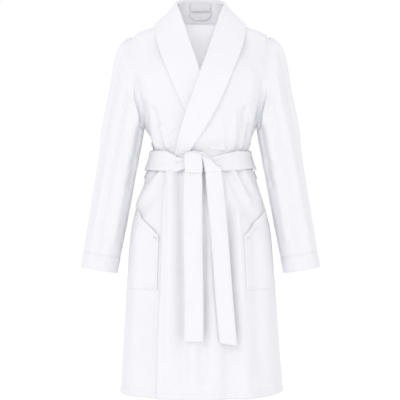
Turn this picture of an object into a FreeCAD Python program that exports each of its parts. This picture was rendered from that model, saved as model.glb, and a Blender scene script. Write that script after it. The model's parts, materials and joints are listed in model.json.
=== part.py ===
"""A shawl-collar wrap bathrobe, worn shape, tied at the waist with its own belt.

Millimetres, +Z up, the front faces -Y, the wearer's left is +X. The origin is the middle of the
seam that holds the hanging loop, inside the back neck. Heights in this file are measured up from
the hem, and every sub-part's Placement brings them to that origin.
"""

import FreeCAD, Part
import math
import os

from FreeCAD import Placement, Rotation, Vector

# ---------------------------------------------------------------- driving dimensions

SIZES = {
    # heights, each from the one before
    "skirt_length": 596.0,  # hem to the belt's lower edge
    "belt_width": 49.0,
    "bodice_length": 63.0,  # belt to underarm
    "armhole_depth": 230.0,  # underarm to shoulder tip
    "shoulder_drop": 66.0,  # shoulder tip to the neck seam
    "collar_stand": 62.0,  # neck seam to the collar's roll at centre back
    # half widths and half depths of the worn shape
    "hem_half_width": 217.0,
    "hem_half_depth": 140.0,
    "thigh_half_width": 200.0,
    "thigh_half_depth": 132.0,
    "hip_half_width": 188.0,
    "hip_half_depth": 126.0,
    "waist_low_half_width": 139.0,
    "waist_low_half_depth": 101.0,
    "waist_top_half_width": 123.0,
    "waist_top_half_depth": 96.0,
    "underarm_half_width": 148.0,
    "underarm_half_depth": 111.0,
    "blade_half_width": 211.0,
    "blade_half_depth": 102.0,
    "shoulder_half_width": 192.0,
    "shoulder_half_depth": 64.0,
    "collar_seat_half_width": 112.0,
    "collar_seat_half_depth": 50.0,
    "neck_half_width": 78.0,
    "neck_half_depth": 48.0,
    # cloth
    "cloth_thickness": 3.0,
    "layer_gap": 0.5,
    "lapel_gap": 1.2,
    # sleeves
    "sleeve_length": 352.0,  # underarm to cuff along the sleeve
    "sleeve_hang": 9.8,  # degrees from straight down
    "sleeve_top_width": 110.0,
    "sleeve_top_half_depth": 57.0,
    "cuff_width": 99.0,
    "cuff_half_depth": 49.5,
    "cuff_forward": 14.0,
    "cuff_facing_depth": 43.0,
    "armhole_clearance": 0.6,
    # belt
    "belt_thickness": 6.0,
    "knot_width": 78.0,
    "knot_depth": 17.0,
    "knot_offset": -15.0,
    "knot_rounding": 6.0,
    "tail_width": 51.0,
    "tail_thickness": 7.0,
    "over_tail_length": 441.0,
    "under_tail_length": 452.0,
    "under_tail_angle": 5.4,
    "belt_loop_width": 14.0,
    "belt_loop_thickness": 2.0,
    "belt_loop_ease": 12.0,
    # pockets
    "pocket_drop": 314.0,  # belt's lower edge to the pocket's bottom edge
    "pocket_mouth_drop": 114.0,  # belt's lower edge to the mouth's upper end
    "pocket_mouth_fall": 61.0,  # the mouth's slant, from its upper end to its lower one
    "pocket_gape": 11.0,
    "pocket_seam": 9.0,
    # inside the back neck
    "loop_span": 62.0,
    "loop_drop": 18.0,
    "loop_tape_width": 6.0,
    "loop_tape_thickness": 1.5,
    "label_width": 54.0,
    "label_height": 24.0,
    "label_thickness": 0.8,
    "care_label_height": 55.0,
}

document = FreeCAD.newDocument("bathrobe")
sheet = document.addObject("Spreadsheet::Sheet", "sizes")
for row, (alias, value) in enumerate(SIZES.items(), 1):
    sheet.set(f"A{row}", alias)
    sheet.set(f"B{row}", str(value))
    sheet.setAlias(f"B{row}", alias)
document.recompute()


def size(alias):
    return float(sheet.get(alias))


CLOTH = size("cloth_thickness")
GAP = size("layer_gap")
LAPEL_GAP = size("lapel_gap")

# ---------------------------------------------------------------- heights

BELT_LOW = size("skirt_length")
BELT_TOP = BELT_LOW + size("belt_width")
UNDERARM = BELT_TOP + size("bodice_length")
SHOULDER = UNDERARM + size("armhole_depth")
NECK = SHOULDER + size("shoulder_drop")
ROLL = NECK + size("collar_stand")
LOOP_SEAM = NECK + 0.34 * size("collar_stand")
LAPEL_START = BELT_TOP + 0.48 * size("bodice_length")  # the lower lapel ends here, under the wrap
V_POINT = UNDERARM + 0.6 * size("armhole_depth")


def part_way(low, high, share):
    return low + share * (high - low)


RINGS = [
    (0.0, "hem"),
    (part_way(0.0, BELT_LOW, 0.436), "thigh"),
    (part_way(0.0, BELT_LOW, 0.723), "hip"),
    (BELT_LOW, "waist_low"),
    (BELT_TOP, "waist_top"),
    (UNDERARM, "underarm"),
    (part_way(UNDERARM, SHOULDER, 0.617), "blade"),
    (SHOULDER, "shoulder"),
    (part_way(SHOULDER, NECK, 0.667), "collar_seat"),
    (NECK, "neck"),
]


def smooth_through(knots, height):
    """A monotone cubic through (height, value) knots."""
    steps = [(b[1] - a[1]) / (b[0] - a[0]) for a, b in zip(knots, knots[1:])]
    slopes = [steps[0]]
    for before, after in zip(steps, steps[1:]):
        slopes.append(0.0 if before * after <= 0 else 2 * before * after / (before + after))
    slopes.append(steps[-1])
    last = len(knots) - 2
    i = next((k for k in range(last) if height <= knots[k + 1][0]), last)
    (low, start), (high, stop) = knots[i], knots[i + 1]
    span = high - low
    u = min(1.0, max(0.0, (height - low) / span))
    return (
        start * (1 + 2 * u) * (1 - u) ** 2
        + span * slopes[i] * u * (1 - u) ** 2
        + stop * u * u * (3 - 2 * u)
        + span * slopes[i + 1] * u * u * (u - 1)
    )


def divided(low, high, count):
    return [part_way(low, high, k / count) for k in range(count)]


STATIONS = sorted(
    divided(0.0, BELT_LOW, 12)
    + divided(BELT_LOW, BELT_TOP, 2)
    + [BELT_TOP, LAPEL_START]
    + divided(LAPEL_START, UNDERARM, 2)[1:]
    + divided(UNDERARM, V_POINT, 5)
    + divided(V_POINT, SHOULDER, 4)
    + divided(SHOULDER, NECK, 4)
    + [NECK]
)


def ring_table(measure):
    knots = [(height, size(f"{name}_half_{measure}")) for height, name in RINGS]
    return [smooth_through(knots, height) for height in STATIONS]


WIDTHS = ring_table("width")
DEPTHS = ring_table("depth")


def straight_between(heights, values, height):
    """Straight runs between the stations, as a ruled panel has."""
    height = min(max(height, heights[0]), heights[-1])
    i = next((k for k in range(len(heights) - 2) if height <= heights[k + 1]), len(heights) - 2)
    share = (height - heights[i]) / (heights[i + 1] - heights[i])
    return part_way(values[i], values[i + 1], share)


def half_width(height):
    return straight_between(STATIONS, WIDTHS, height)


def half_depth(height):
    return straight_between(STATIONS, DEPTHS, height)


# ---------------------------------------------------------------- how the wrap lies

SKIRT_RAISE = CLOTH + GAP
BODICE_RAISE = SKIRT_RAISE + 2 * CLOTH + GAP + 2 * LAPEL_GAP


def eased(start, stop, value):
    u = min(1.0, max(0.0, (value - start) / (stop - start)))
    return u * u * (3 - 2 * u)


def wrap_raise(height):
    """How far the outer front stands off the worn shape over the layers beneath it."""
    heights = [0.0, BELT_TOP, LAPEL_START, V_POINT, SHOULDER, NECK]
    raises = [SKIRT_RAISE, SKIRT_RAISE, BODICE_RAISE, BODICE_RAISE, 0.0, 0.0]
    return straight_between(heights, raises, height)


def wrap_lay(angle, height):
    """The outer front's lift: full across the front, nothing at the side seam."""
    return wrap_raise(height) * (1 - eased(300.0, 348.0, angle))


def belt_lay(angle, height):
    turn = angle % 360.0
    share = eased(190.0, 226.0, turn) * (1 - eased(300.0, 348.0, turn))
    return wrap_raise(height) * share


def flat_lay(angle, height):
    return 0.0


def on_ring(angle, height, lift):
    """A point of the worn shape; angle 0 is the wearer's left side, 90 the back, 270 the front."""
    turn = math.radians(angle)
    return Vector(
        (half_width(height) + lift) * math.cos(turn),
        (half_depth(height) + lift) * math.sin(turn),
        height,
    )


def spline(points):
    curve = Part.BSplineCurve()
    curve.interpolate(points)
    return curve.toShape()


def strip_wire(outer, inner):
    """The cut end of a layer of cloth: outer edge, inner edge and the two short ends."""
    return Part.Wire(
        [
            spline(outer),
            Part.makeLine(outer[-1], inner[-1]),
            spline(inner[::-1]),
            Part.makeLine(inner[0], outer[0]),
        ]
    )


def ruled(wires):
    return Part.makeLoft(wires, True, True)


def heights_between(low, high):
    return [low] + [level for level in STATIONS if low + 1.0 < level < high - 1.0] + [high]


def layer(low, high, start, stop, lay, inside, outside):
    """A shell layer between two heights; start and stop give its two edges at each height."""
    wires = []
    for level in heights_between(low, high):
        first, last = start(level), stop(level)
        count = 13 if last - first > 60 else 5
        angles = [part_way(first, last, k / (count - 1)) for k in range(count)]
        wires.append(
            strip_wire(
                [on_ring(angle, level, lay(angle, level) + outside) for angle in angles],
                [on_ring(angle, level, lay(angle, level) + inside) for angle in angles],
            )
        )
    return ruled(wires)


def always(angle):
    return lambda level: angle


# ---------------------------------------------------------------- document objects

document_parts = []


def keep(label, thing):
    """Registers a finished sub-part and moves it from hem heights to the loop seam's origin."""
    thing.Label = label
    thing.Placement = Placement(ORIGIN_SHIFT, Rotation()).multiply(thing.Placement)
    document_parts.append(thing)
    return thing


def cloth(label, shape):
    """A sub-part whose double curve no sketched feature gives."""
    thing = document.addObject("Part::Feature", label)
    thing.Shape = shape
    return keep(label, thing)


def bound_box(name, length, width, height, corner):
    """A Part::Box whose three sides are cell expressions."""
    box = document.addObject("Part::Box", name)
    box.setExpression("Length", length)
    box.setExpression("Width", width)
    box.setExpression("Height", height)
    box.Placement = Placement(corner, Rotation())
    return box


# ---------------------------------------------------------------- neck roll and lapels

# The roll is the V edge, the free edge is the shawl's outer edge. Each point is (x, share): above
# the neck seam a share of the collar's stand, below it a share of the fall from neck to belt.
COLLAR_DROP = ROLL - NECK
LAPEL_FALL = NECK - BELT_TOP
FRONT_ROLL = [(57, 0.42), (50, 0.1), (36, -0.1088), (17, -0.2901), (-3, -0.4438), (-20, -0.5958)]
FRONT_ROLL += [(-37, -0.7219), (-50, -0.8531), (-60, -0.9827)]
FRONT_FREE = [(119, -0.0777), (120, -0.1451), (112, -0.2556), (91, -0.3834), (71, -0.5181)]
FRONT_FREE += [(50, -0.6563), (25, -0.7858), (0, -0.898), (-25, -0.9861)]
# At the back: roll, belly and free edge at centre back, behind the neck and over the shoulder.
BACK_COLLAR = [
    ((0, 52, 1.0), (0, 62, 0.58), (0, 66, 0.03)),
    ((26, 48, 0.98), (34, 59, 0.55), (40, 61, 0.0)),
    ((45, 34, 0.9), (62, 42, 0.45), (76, 42, -0.1)),
    ((58, 6, 0.66), (86, 8, 0.2), (114, 4, -0.29)),
]
SHOULDER_CLEAR = 8.0  # the fall stands this far off the slope of the shoulder


def neck_height(share):
    return NECK + share * COLLAR_DROP


def lapel_height(share):
    return NECK + share * (COLLAR_DROP if share > 0 else LAPEL_FALL)


def front_y(x, height, lift):
    wide, deep = half_width(height) + lift, half_depth(height) + lift
    return -deep * math.sqrt(max(0.0, 1 - (x / wide) ** 2))


def front_angle(x, height):
    return 360.0 - math.degrees(math.acos(max(-1.0, min(1.0, x / half_width(height)))))


ROLL_CURVE = Part.BSplineCurve()
ROLL_CURVE.interpolate([Vector(x, 0, lapel_height(share)) for x, share in FRONT_ROLL])
FREE_CURVE = Part.BSplineCurve()
FREE_CURVE.interpolate([Vector(x, 0, lapel_height(share)) for x, share in FRONT_FREE])


def along(curve, share):
    return curve.value(part_way(curve.FirstParameter, curve.LastParameter, share))


def roll_x(height):
    """Where the V edge crosses a height."""
    low, high = 0.0, 1.0
    for _ in range(30):
        middle = (low + high) / 2
        if along(ROLL_CURVE, middle).z > height:
            low = middle
        else:
            high = middle
    return along(ROLL_CURVE, low).x


def outward(point):
    direction = Vector(point.x / 110.0**2, point.y / 75.0**2, 0)
    return direction.normalize()


def bowed(roll, belly, free, lift):
    """Five points over the collar's fall from its roll, through its belly, to its free edge."""
    a, b, c = (Vector(x, y, neck_height(share)) for x, y, share in (roll, belly, free))
    pull = b * 2 - (a + c) * 0.5
    points = []
    for k in range(5):
        u = k / 4
        point = a * (1 - u) ** 2 + pull * (2 * u * (1 - u)) + c * u * u
        points.append(point + outward(point) * lift)
    return points


def front_fall(share, lift, lay, steps=5):
    """Points across a lapel at one place down its length."""
    roll, free = along(ROLL_CURVE, share), along(FREE_CURVE, share)
    over_shoulder = 1 - eased(0.0, 0.1, share)
    clear = SHOULDER_CLEAR * (1 - eased(0.05, 0.4, share))
    points = []
    for k in range(steps):
        at = roll + (free - roll) * (k / (steps - 1)) + Vector(0, 0, clear)
        raised = lay(front_angle(at.x, at.z), at.z) + lift + clear
        y = part_way(front_y(at.x, at.z, raised), -22.0 - lift, over_shoulder)
        points.append(Vector(at.x, y, at.z))
    return points


def mirrored(points, side):
    return [Vector(side * p.x, p.y, p.z) for p in points]


def collar_half(side, lay, inside, outside, last):
    wires = []
    for station in BACK_COLLAR:
        wires.append((bowed(*station, outside), bowed(*station, inside)))
    count = 20
    for k in range(count + 1):
        share = last * k / count
        wires.append((front_fall(share, outside, lay), front_fall(share, inside, lay)))
    shifted = [(mirrored(out, side), mirrored(back, side)) for out, back in wires]
    middle_gap = Vector(side * GAP / 2, 0, 0)
    out, back = shifted[0]
    shifted[0] = ([p + middle_gap for p in out], [p + middle_gap for p in back])
    return ruled([strip_wire(out, back) for out, back in shifted])


# ---------------------------------------------------------------- front edges

SKIRT_EDGE = 239.0  # the wrap's free edge on the skirt, as an angle
BELT_EDGE = 231.0  # and where it goes under the belt
EDGE_HEIGHTS = [0.0, part_way(0.0, BELT_LOW, 0.72), BELT_LOW]
EDGE_ANGLES = [SKIRT_EDGE, SKIRT_EDGE, BELT_EDGE]
EDGE_TOP = BELT_TOP + 10.0  # above this the free edge is the lapel's roll


def wrap_edge(height):
    """The outer front's free edge, as an angle."""
    if height <= BELT_LOW:
        return straight_between(EDGE_HEIGHTS, EDGE_ANGLES, height)
    if height < EDGE_TOP:
        top_angle = front_angle(roll_x(EDGE_TOP), EDGE_TOP)
        return straight_between([BELT_LOW, EDGE_TOP], [BELT_EDGE, top_angle], height)
    return front_angle(roll_x(height), height)


def under_edge(height):
    return 540.0 - wrap_edge(height)


SEAM = 0.1  # degrees left open at each seam

# ---------------------------------------------------------------- armholes

ARMHOLE_LOW = Vector(size("underarm_half_width") + 2.0, 0, UNDERARM + 4.0)
ARMHOLE_TOP = Vector(size("shoulder_half_width") - 3.5, 0, SHOULDER + 6.0)
ARMHOLE_LINE = ARMHOLE_TOP - ARMHOLE_LOW
ARMHOLE_TILT = math.degrees(math.atan2(ARMHOLE_LINE.z, ARMHOLE_LINE.x))


def beyond_armhole(side):
    """Everything outside the armhole's plane, to be cut off the body panels."""
    reach = 400.0
    block = Part.makeBox(reach, reach, reach, Vector(0, -reach / 2, 0))
    block.rotate(Vector(0, 0, 0), Vector(0, 1, 0), 90 - ARMHOLE_TILT)
    block.translate(ARMHOLE_LOW)
    if side < 0:
        block = block.mirror(Vector(0, 0, 0), Vector(1, 0, 0))
    return block


ARM_BLOCKS = [beyond_armhole(1), beyond_armhole(-1)]


def trimmed(panel):
    return panel.cut(Part.makeCompound(ARM_BLOCKS)).Solids[0]


# ---------------------------------------------------------------- origin

FACING_DEPTH = size("neck_half_depth") - CLOTH - GAP - CLOTH
FACING_WIDTH = size("neck_half_width") - CLOTH - GAP - CLOTH


def facing_y(x):
    """The inner face of the back neck facing at a distance from centre back."""
    return FACING_DEPTH * math.sqrt(1 - (x / FACING_WIDTH) ** 2)


LOOP_BACK = facing_y(size("loop_span") / 2) - GAP
LOOP_FRONT = LOOP_BACK - size("loop_tape_thickness")
ORIGIN_SHIFT = Vector(0, -LOOP_FRONT, -LOOP_SEAM)

# ---------------------------------------------------------------- body panels

cloth(
    "back_panel",
    trimmed(layer(0.0, NECK, always(SEAM), always(180.0 - SEAM), flat_lay, -CLOTH, 0.0)),
)
cloth(
    "front_panel_left",
    trimmed(layer(0.0, NECK, wrap_edge, always(360.0 - SEAM), wrap_lay, -CLOTH, 0.0)),
)
cloth(
    "front_panel_right",
    trimmed(layer(0.0, NECK, always(180.0 + SEAM), under_edge, flat_lay, -CLOTH, 0.0)),
)

# ---------------------------------------------------------------- collar

LAPEL_LAST = 0.985
LOWER_LAPEL_LAST = 0.92
for label, side, lay, last in (
    ("left", 1, wrap_lay, LAPEL_LAST),
    ("right", -1, flat_lay, LOWER_LAPEL_LAST),
):
    under = LAPEL_GAP
    upper = under + CLOTH + GAP / 2
    cloth(f"under_collar_{label}", collar_half(side, lay, under, under + CLOTH, last))
    cloth(f"upper_collar_{label}", collar_half(side, lay, upper, upper + CLOTH, last))

facing_wires = []
for level in (NECK - 14.0, NECK, neck_height(0.8)):
    angles = [part_way(14.0, 166.0, k / 12) for k in range(13)]
    facing_wires.append(
        strip_wire(
            [on_ring(angle, NECK, -CLOTH - GAP) + Vector(0, 0, level - NECK) for angle in angles],
            [on_ring(angle, NECK, -2 * CLOTH - GAP) + Vector(0, 0, level - NECK) for angle in angles],
        )
    )
cloth("back_neck_facing", ruled(facing_wires))

# ---------------------------------------------------------------- sleeves

# The cap turns the armhole's plane into the sleeve's cross section: (share of turn, share of length).
CAP = [(0.0, 1.0), (0.09, 1.02), (0.19, 0.875), (0.4, 0.64), (0.75, 0.5)]
SLEEVE_TURN = ARMHOLE_TILT - size("sleeve_hang")


def sleeve_frames(side):
    """(centre, direction across, half width, half depth) down the sleeve, armhole first."""
    hang = math.radians(size("sleeve_hang"))
    down = Vector(math.sin(hang), 0, -math.cos(hang))
    across = Vector(math.cos(hang), 0, math.sin(hang))
    start = ARMHOLE_LOW + Vector(size("armhole_clearance"), 0, 0)
    sleeve_top = start + Vector(7.0, 0, -46.0)
    frames = []
    for turn, reach in CAP:
        angle = math.radians(ARMHOLE_TILT - turn * SLEEVE_TURN)
        direction = Vector(math.cos(angle), 0, math.sin(angle))
        half = ARMHOLE_LINE.Length * reach / 2
        corner = start + (sleeve_top - start) * turn**1.5
        depth = part_way(60.0, size("sleeve_top_half_depth"), turn)
        frames.append((corner + direction * half, direction, half, depth))
    top_half, cuff_half = size("sleeve_top_width") / 2, size("cuff_width") / 2
    for k in range(7):
        share = k / 6
        half = part_way(top_half, cuff_half, share)
        forward = Vector(0, -size("cuff_forward") * share, 0)
        inner_edge = sleeve_top + down * (size("sleeve_length") * share)
        lean = across * (half + (top_half - cuff_half) * share)
        depth = part_way(size("sleeve_top_half_depth"), size("cuff_half_depth"), share)
        frames.append((inner_edge + lean + forward, across, half, depth))
    return [
        (Vector(side * c.x, c.y, c.z), Vector(side * d.x, d.y, d.z), w, deep)
        for c, d, w, deep in frames
    ]


def tube(frames, inset):
    wires = []
    for centre, direction, wide, deep in frames:
        points = []
        for k in range(17):
            turn = 2 * math.pi * k / 16
            across = direction * ((wide - inset) * math.cos(turn))
            forward = Vector(0, (deep - inset) * math.sin(turn), 0)
            points.append(centre + across + forward)
        wires.append(Part.Wire([spline(points[4 * k : 4 * k + 5]) for k in range(4)]))
    return ruled(wires)


def cuff_frames(frames):
    """The last stretch of the sleeve, as deep as its facing."""
    (c0, d0, w0, p0), (c1, d1, w1, p1) = frames[-2], frames[-1]
    share = 1 - size("cuff_facing_depth") / (c1 - c0).Length
    start = (c0 + (c1 - c0) * share, d1, part_way(w0, w1, share), part_way(p0, p1, share))
    return [start, frames[-1]]


for label, side in (("left", 1), ("right", -1)):
    frames = sleeve_frames(side)
    cloth(f"sleeve_{label}", tube(frames, 0.0).cut(tube(frames, CLOTH)).Solids[0])
    cuff = cuff_frames(frames)
    facing_outside = CLOTH + GAP
    cloth(
        f"cuff_facing_{label}",
        tube(cuff, facing_outside).cut(tube(cuff, facing_outside + CLOTH)).Solids[0],
    )

# ---------------------------------------------------------------- belt

BELT_INSIDE = GAP
BELT_OUTSIDE = BELT_INSIDE + size("belt_thickness")


def belt_body(lift):
    wires = []
    for level in heights_between(BELT_LOW, BELT_TOP):
        points = []
        for k in range(37):
            angle = 10.0 * (k % 36)
            points.append(on_ring(angle, level, belt_lay(angle, level) + lift))
        wires.append(Part.Wire([spline(points[9 * k : 9 * k + 10]) for k in range(4)]))
    return ruled(wires)


cloth("belt_waistband", belt_body(BELT_OUTSIDE).cut(belt_body(BELT_INSIDE)).Solids[0])

KNOT_BACK = half_depth(BELT_LOW) + wrap_raise(BELT_LOW) + BELT_OUTSIDE + GAP
knot_blank = bound_box(
    "knot_blank",
    "sizes.knot_width",
    "sizes.knot_depth",
    "sizes.belt_width + 4",
    Vector(
        size("knot_offset") - size("knot_width") / 2, -KNOT_BACK - size("knot_depth"), BELT_LOW - 3.0
    ),
)
document.recompute()
knot = document.addObject("Part::Fillet", "knot")
knot.Base = knot_blank
rounding = size("knot_rounding")
knot.Edges = [(k + 1, rounding, rounding) for k in range(len(knot_blank.Shape.Edges))]
document.recompute()
keep("belt_knot", knot)

KNOT_DROP = 3.0  # the knot hangs this far below the belt
TAIL_TOP = BELT_LOW - KNOT_DROP - GAP
TAIL_CLEAR = SKIRT_RAISE + 1.5
KNOT_REACH = 40.0  # the tail stands off the skirt this far below the knot


def tail(length, top_x, lean):
    """A doubled strip that follows the skirt's front down from the knot."""
    wires = []
    bottom = TAIL_TOP - length
    half = size("tail_width") / 2
    for level in heights_between(bottom, TAIL_TOP):
        centre = top_x + math.tan(math.radians(lean)) * (TAIL_TOP - level)
        nearest = min(abs(centre - half), abs(centre + half))
        nearest = 0.0 if abs(centre) < half else nearest
        back = front_y(nearest, level, TAIL_CLEAR)
        if level > TAIL_TOP - KNOT_REACH:
            back = min(back, -KNOT_BACK + 1.0)
        front = back - size("tail_thickness")
        corners = [
            Vector(centre - half, back, level),
            Vector(centre + half, back, level),
            Vector(centre + half, front, level),
            Vector(centre - half, front, level),
        ]
        wires.append(Part.makePolygon(corners + corners[:1]))
    return ruled(wires)


OVER_TAIL_X = size("knot_offset") - 4.0
UNDER_TAIL_X = OVER_TAIL_X + size("tail_width") + 3.0
cloth("belt_tail_over", tail(size("over_tail_length"), OVER_TAIL_X, 0.0))
cloth(
    "belt_tail_under",
    tail(size("under_tail_length"), UNDER_TAIL_X, size("under_tail_angle")),
)


def belt_loop(side):
    """A tape sewn above and below the belt at the side seam, standing over it."""
    middle = 0.0 if side > 0 else 180.0
    spread = math.degrees(size("belt_loop_width") / 2 / half_depth(BELT_LOW))
    ease, thick = size("belt_loop_ease"), size("belt_loop_thickness")
    outline = [
        (BELT_LOW - 2 * ease, GAP),
        (BELT_LOW - ease, GAP),
        (BELT_LOW - 2.0, BELT_OUTSIDE + GAP),
        (part_way(BELT_LOW, BELT_TOP, 0.5), BELT_OUTSIDE + GAP),
        (BELT_TOP + 2.0, BELT_OUTSIDE + GAP),
        (BELT_TOP + ease, GAP),
        (BELT_TOP + 2 * ease, GAP),
    ]
    wires = []
    for level, lift in outline:
        angles = [middle + spread * (k - 2) / 2 for k in range(5)]
        wires.append(
            strip_wire(
                [on_ring(angle, level, lift + thick) for angle in angles],
                [on_ring(angle, level, lift) for angle in angles],
            )
        )
    return ruled(wires)


def tack(angle, level, wide, high, lift, thick):
    """A bar of close stitches standing on the cloth."""
    spread = math.degrees(wide / 2 / half_depth(level))
    return layer(
        level - high / 2,
        level + high / 2,
        always(angle - spread),
        always(angle + spread),
        flat_lay,
        lift,
        lift + thick,
    )


TACK = {"wide": 11.0, "high": 2.6, "thick": 0.9}
loop_tacks = []
for label, side in (("left", 1), ("right", -1)):
    cloth(f"belt_loop_{label}", belt_loop(side))
    lift = GAP + size("belt_loop_thickness") + 0.3
    for level in (BELT_LOW - 1.5 * size("belt_loop_ease"), BELT_TOP + 1.5 * size("belt_loop_ease")):
        middle = 0.0 if side > 0 else 180.0
        loop_tacks.append(tack(middle, level, lift=lift, **TACK))
cloth("belt_loop_bartacks", Part.makeCompound(loop_tacks))

# ---------------------------------------------------------------- pockets

POCKET_SIDE = 14.0  # degrees from the side seam to the pocket's back edge
POCKET_FRONT = 55.0  # degrees from the side seam to its front edge
POCKET_MOUTH = 22.0  # where the mouth starts
POCKET_LOW = BELT_LOW - size("pocket_drop")
MOUTH_HIGH = BELT_LOW - size("pocket_mouth_drop")
MOUTH_LOW = MOUTH_HIGH - size("pocket_mouth_fall")
POCKET_CLEAR = GAP + 0.3  # the patch's back face off the skirt


def pocket_block(side, lay, low, grow, inside, outside, top_extra):
    """A block over the skirt with a slanting top; grow narrows it at its sewn edges."""

    def near(level):
        return POCKET_SIDE + grow

    def far(level):
        full = POCKET_FRONT - grow
        rise = (level - MOUTH_LOW - top_extra) / (MOUTH_HIGH - MOUTH_LOW)
        return part_way(full, POCKET_MOUTH - grow, min(1.0, max(0.0, rise)))

    levels = heights_between(low, MOUTH_HIGH + top_extra)
    levels = sorted(set(levels + [MOUTH_LOW + top_extra]))
    wires = []
    for level in levels:
        shares = [k / 6 for k in range(7)]
        turns = [part_way(near(level), far(level), share) for share in shares]
        angles = [360.0 - turn if side > 0 else 180.0 + turn for turn in turns]
        wires.append(
            strip_wire(
                [on_ring(angle, level, lay(angle, level) + outside) for angle in angles],
                [on_ring(angle, level, lay(angle, level) + inside) for angle in angles],
            )
        )
    return ruled(wires)


MOUTH_CUT = 12.0  # the hollow runs this far past the mouth's edge
# The stitched bars at the mouth's ends: degrees from the side seam, and height.
TACK_PLACES = [(POCKET_FRONT - 2.0, MOUTH_LOW - 6.0), (POCKET_SIDE + 3.0, MOUTH_HIGH - 12.0)]
pocket_tacks = []
for label, side, lay in (("left", 1, wrap_lay), ("right", -1, flat_lay)):
    gape = GAP + size("pocket_gape")
    block = pocket_block(side, lay, POCKET_LOW, 0.0, POCKET_CLEAR, gape + CLOTH, 0.0)
    seam_turn = math.degrees(size("pocket_seam") / half_width(POCKET_LOW))
    hollow_low = POCKET_LOW + size("pocket_seam")
    hollow = pocket_block(side, lay, hollow_low, seam_turn, -CLOTH, gape, MOUTH_CUT)
    cloth(f"pocket_{label}", block.cut(hollow).Solids[0])
    for turn, level in TACK_PLACES:
        angle = 360.0 - turn if side > 0 else 180.0 + turn
        lift = gape + CLOTH + 0.3 + lay(angle, level)
        pocket_tacks.append(tack(angle, level, lift=lift, **TACK))
cloth("pocket_bartacks", Part.makeCompound(pocket_tacks))

# ---------------------------------------------------------------- hanging loop and labels


def sketched_pad(label, corners, thickness, place):
    """A flat piece of tape or label: a sketch on the body's own XZ plane, padded."""
    body = document.addObject("PartDesign::Body", label)
    plane = next(f for f in body.Origin.OriginFeatures if f.Role == "XZ_Plane")
    sketch = body.newObject("Sketcher::SketchObject", f"{label}_outline")
    sketch.AttachmentSupport = [(plane, "")]
    sketch.MapMode = "FlatFace"
    for a, b in zip(corners, corners[1:] + corners[:1]):
        sketch.addGeometry(Part.LineSegment(Vector(*a, 0), Vector(*b, 0)), False)
    pad = body.newObject("PartDesign::Pad", f"{label}_pad")
    pad.Profile = sketch
    pad.setExpression("Length", thickness)
    body.Tip = pad
    document.recompute()
    body.Placement = Placement(place, Rotation())
    return keep(label, body)


half_span, drop, tape = size("loop_span") / 2, size("loop_drop"), size("loop_tape_width")
flare = 0.62  # the loop's lower run as a share of its span
outer_loop = [(-half_span, 0), (-half_span * flare, -drop), (half_span * flare, -drop), (half_span, 0)]
inside_half = half_span - tape
inner_loop = [
    (-inside_half, 0),
    (-inside_half * flare, -drop + tape),
    (inside_half * flare, -drop + tape),
    (inside_half, 0),
]
sketched_pad(
    "hang_loop",
    outer_loop + inner_loop[::-1],
    "sizes.loop_tape_thickness",
    Vector(0, LOOP_BACK, LOOP_SEAM),
)

loop_ends = []
for side in (-1, 1):
    end_x = side * (half_span - tape / 2)
    y_back = facing_y(half_span) - 0.2
    loop_ends.append(Part.makeBox(tape, 1.2, 4.0, Vector(end_x - tape / 2, y_back - 1.2, LOOP_SEAM + GAP)))
cloth("hang_loop_bartacks", Part.makeCompound(loop_ends))

label_half, label_tall = size("label_width") / 2, size("label_height")
label_low = LOOP_SEAM + GAP + 5.0
sketched_pad(
    "neck_label",
    [(-label_half, 0), (label_half, 0), (label_half, label_tall), (-label_half, label_tall)],
    "sizes.label_thickness",
    Vector(0, facing_y(label_half) - 0.3, label_low),
)

care_top = part_way(0.0, BELT_LOW, 0.55)
cloth(
    "care_label",
    layer(
        care_top - size("care_label_height"),
        care_top,
        always(164.0),
        always(174.0),
        flat_lay,
        -CLOTH - GAP - size("label_thickness"),
        -CLOTH - GAP,
    ),
)

# ---------------------------------------------------------------- checks and files

document.recompute()
for thing in document.Objects:
    bad = [state for state in thing.State if state in ("Invalid", "Error")]
    if bad:
        raise RuntimeError(f"{thing.Label} is {bad}")
for thing in document_parts:
    if thing.Shape.isNull() or not thing.Shape.isValid() or not thing.Shape.Solids:
        raise RuntimeError(f"{thing.Label} has no valid solid")

os.makedirs("parts", exist_ok=True)
for thing in document_parts:
    thing.Shape.exportStep(f"parts/{thing.Label}.step")
    box = thing.Shape.BoundBox
    print(
        f"{thing.Label:22s} {len(thing.Shape.Solids)} solid  {thing.Shape.Volume / 1000:8.1f} cm3 "
        f" x {box.XMin:7.1f} {box.XMax:7.1f}  y {box.YMin:7.1f} {box.YMax:7.1f}"
        f"  z {box.ZMin:8.1f} {box.ZMax:7.1f}"
    )
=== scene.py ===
"""The looks of a shawl-collar wrap bathrobe, worn shape, tied at the waist with its own belt.

Laid out as a Blender add-on and run as a script. Metres, +Z up, the front faces -Y and the
wearer's left is +X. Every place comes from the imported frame. Folds are heights in millimetres
over a plane of (x, height above the hem), because that is how a maker would mark them on cloth.
"""

import json
import math

import bmesh
import bpy
import numpy as np
from bpy.props import FloatProperty, FloatVectorProperty, PointerProperty
from mathutils import Matrix, Vector


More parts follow.
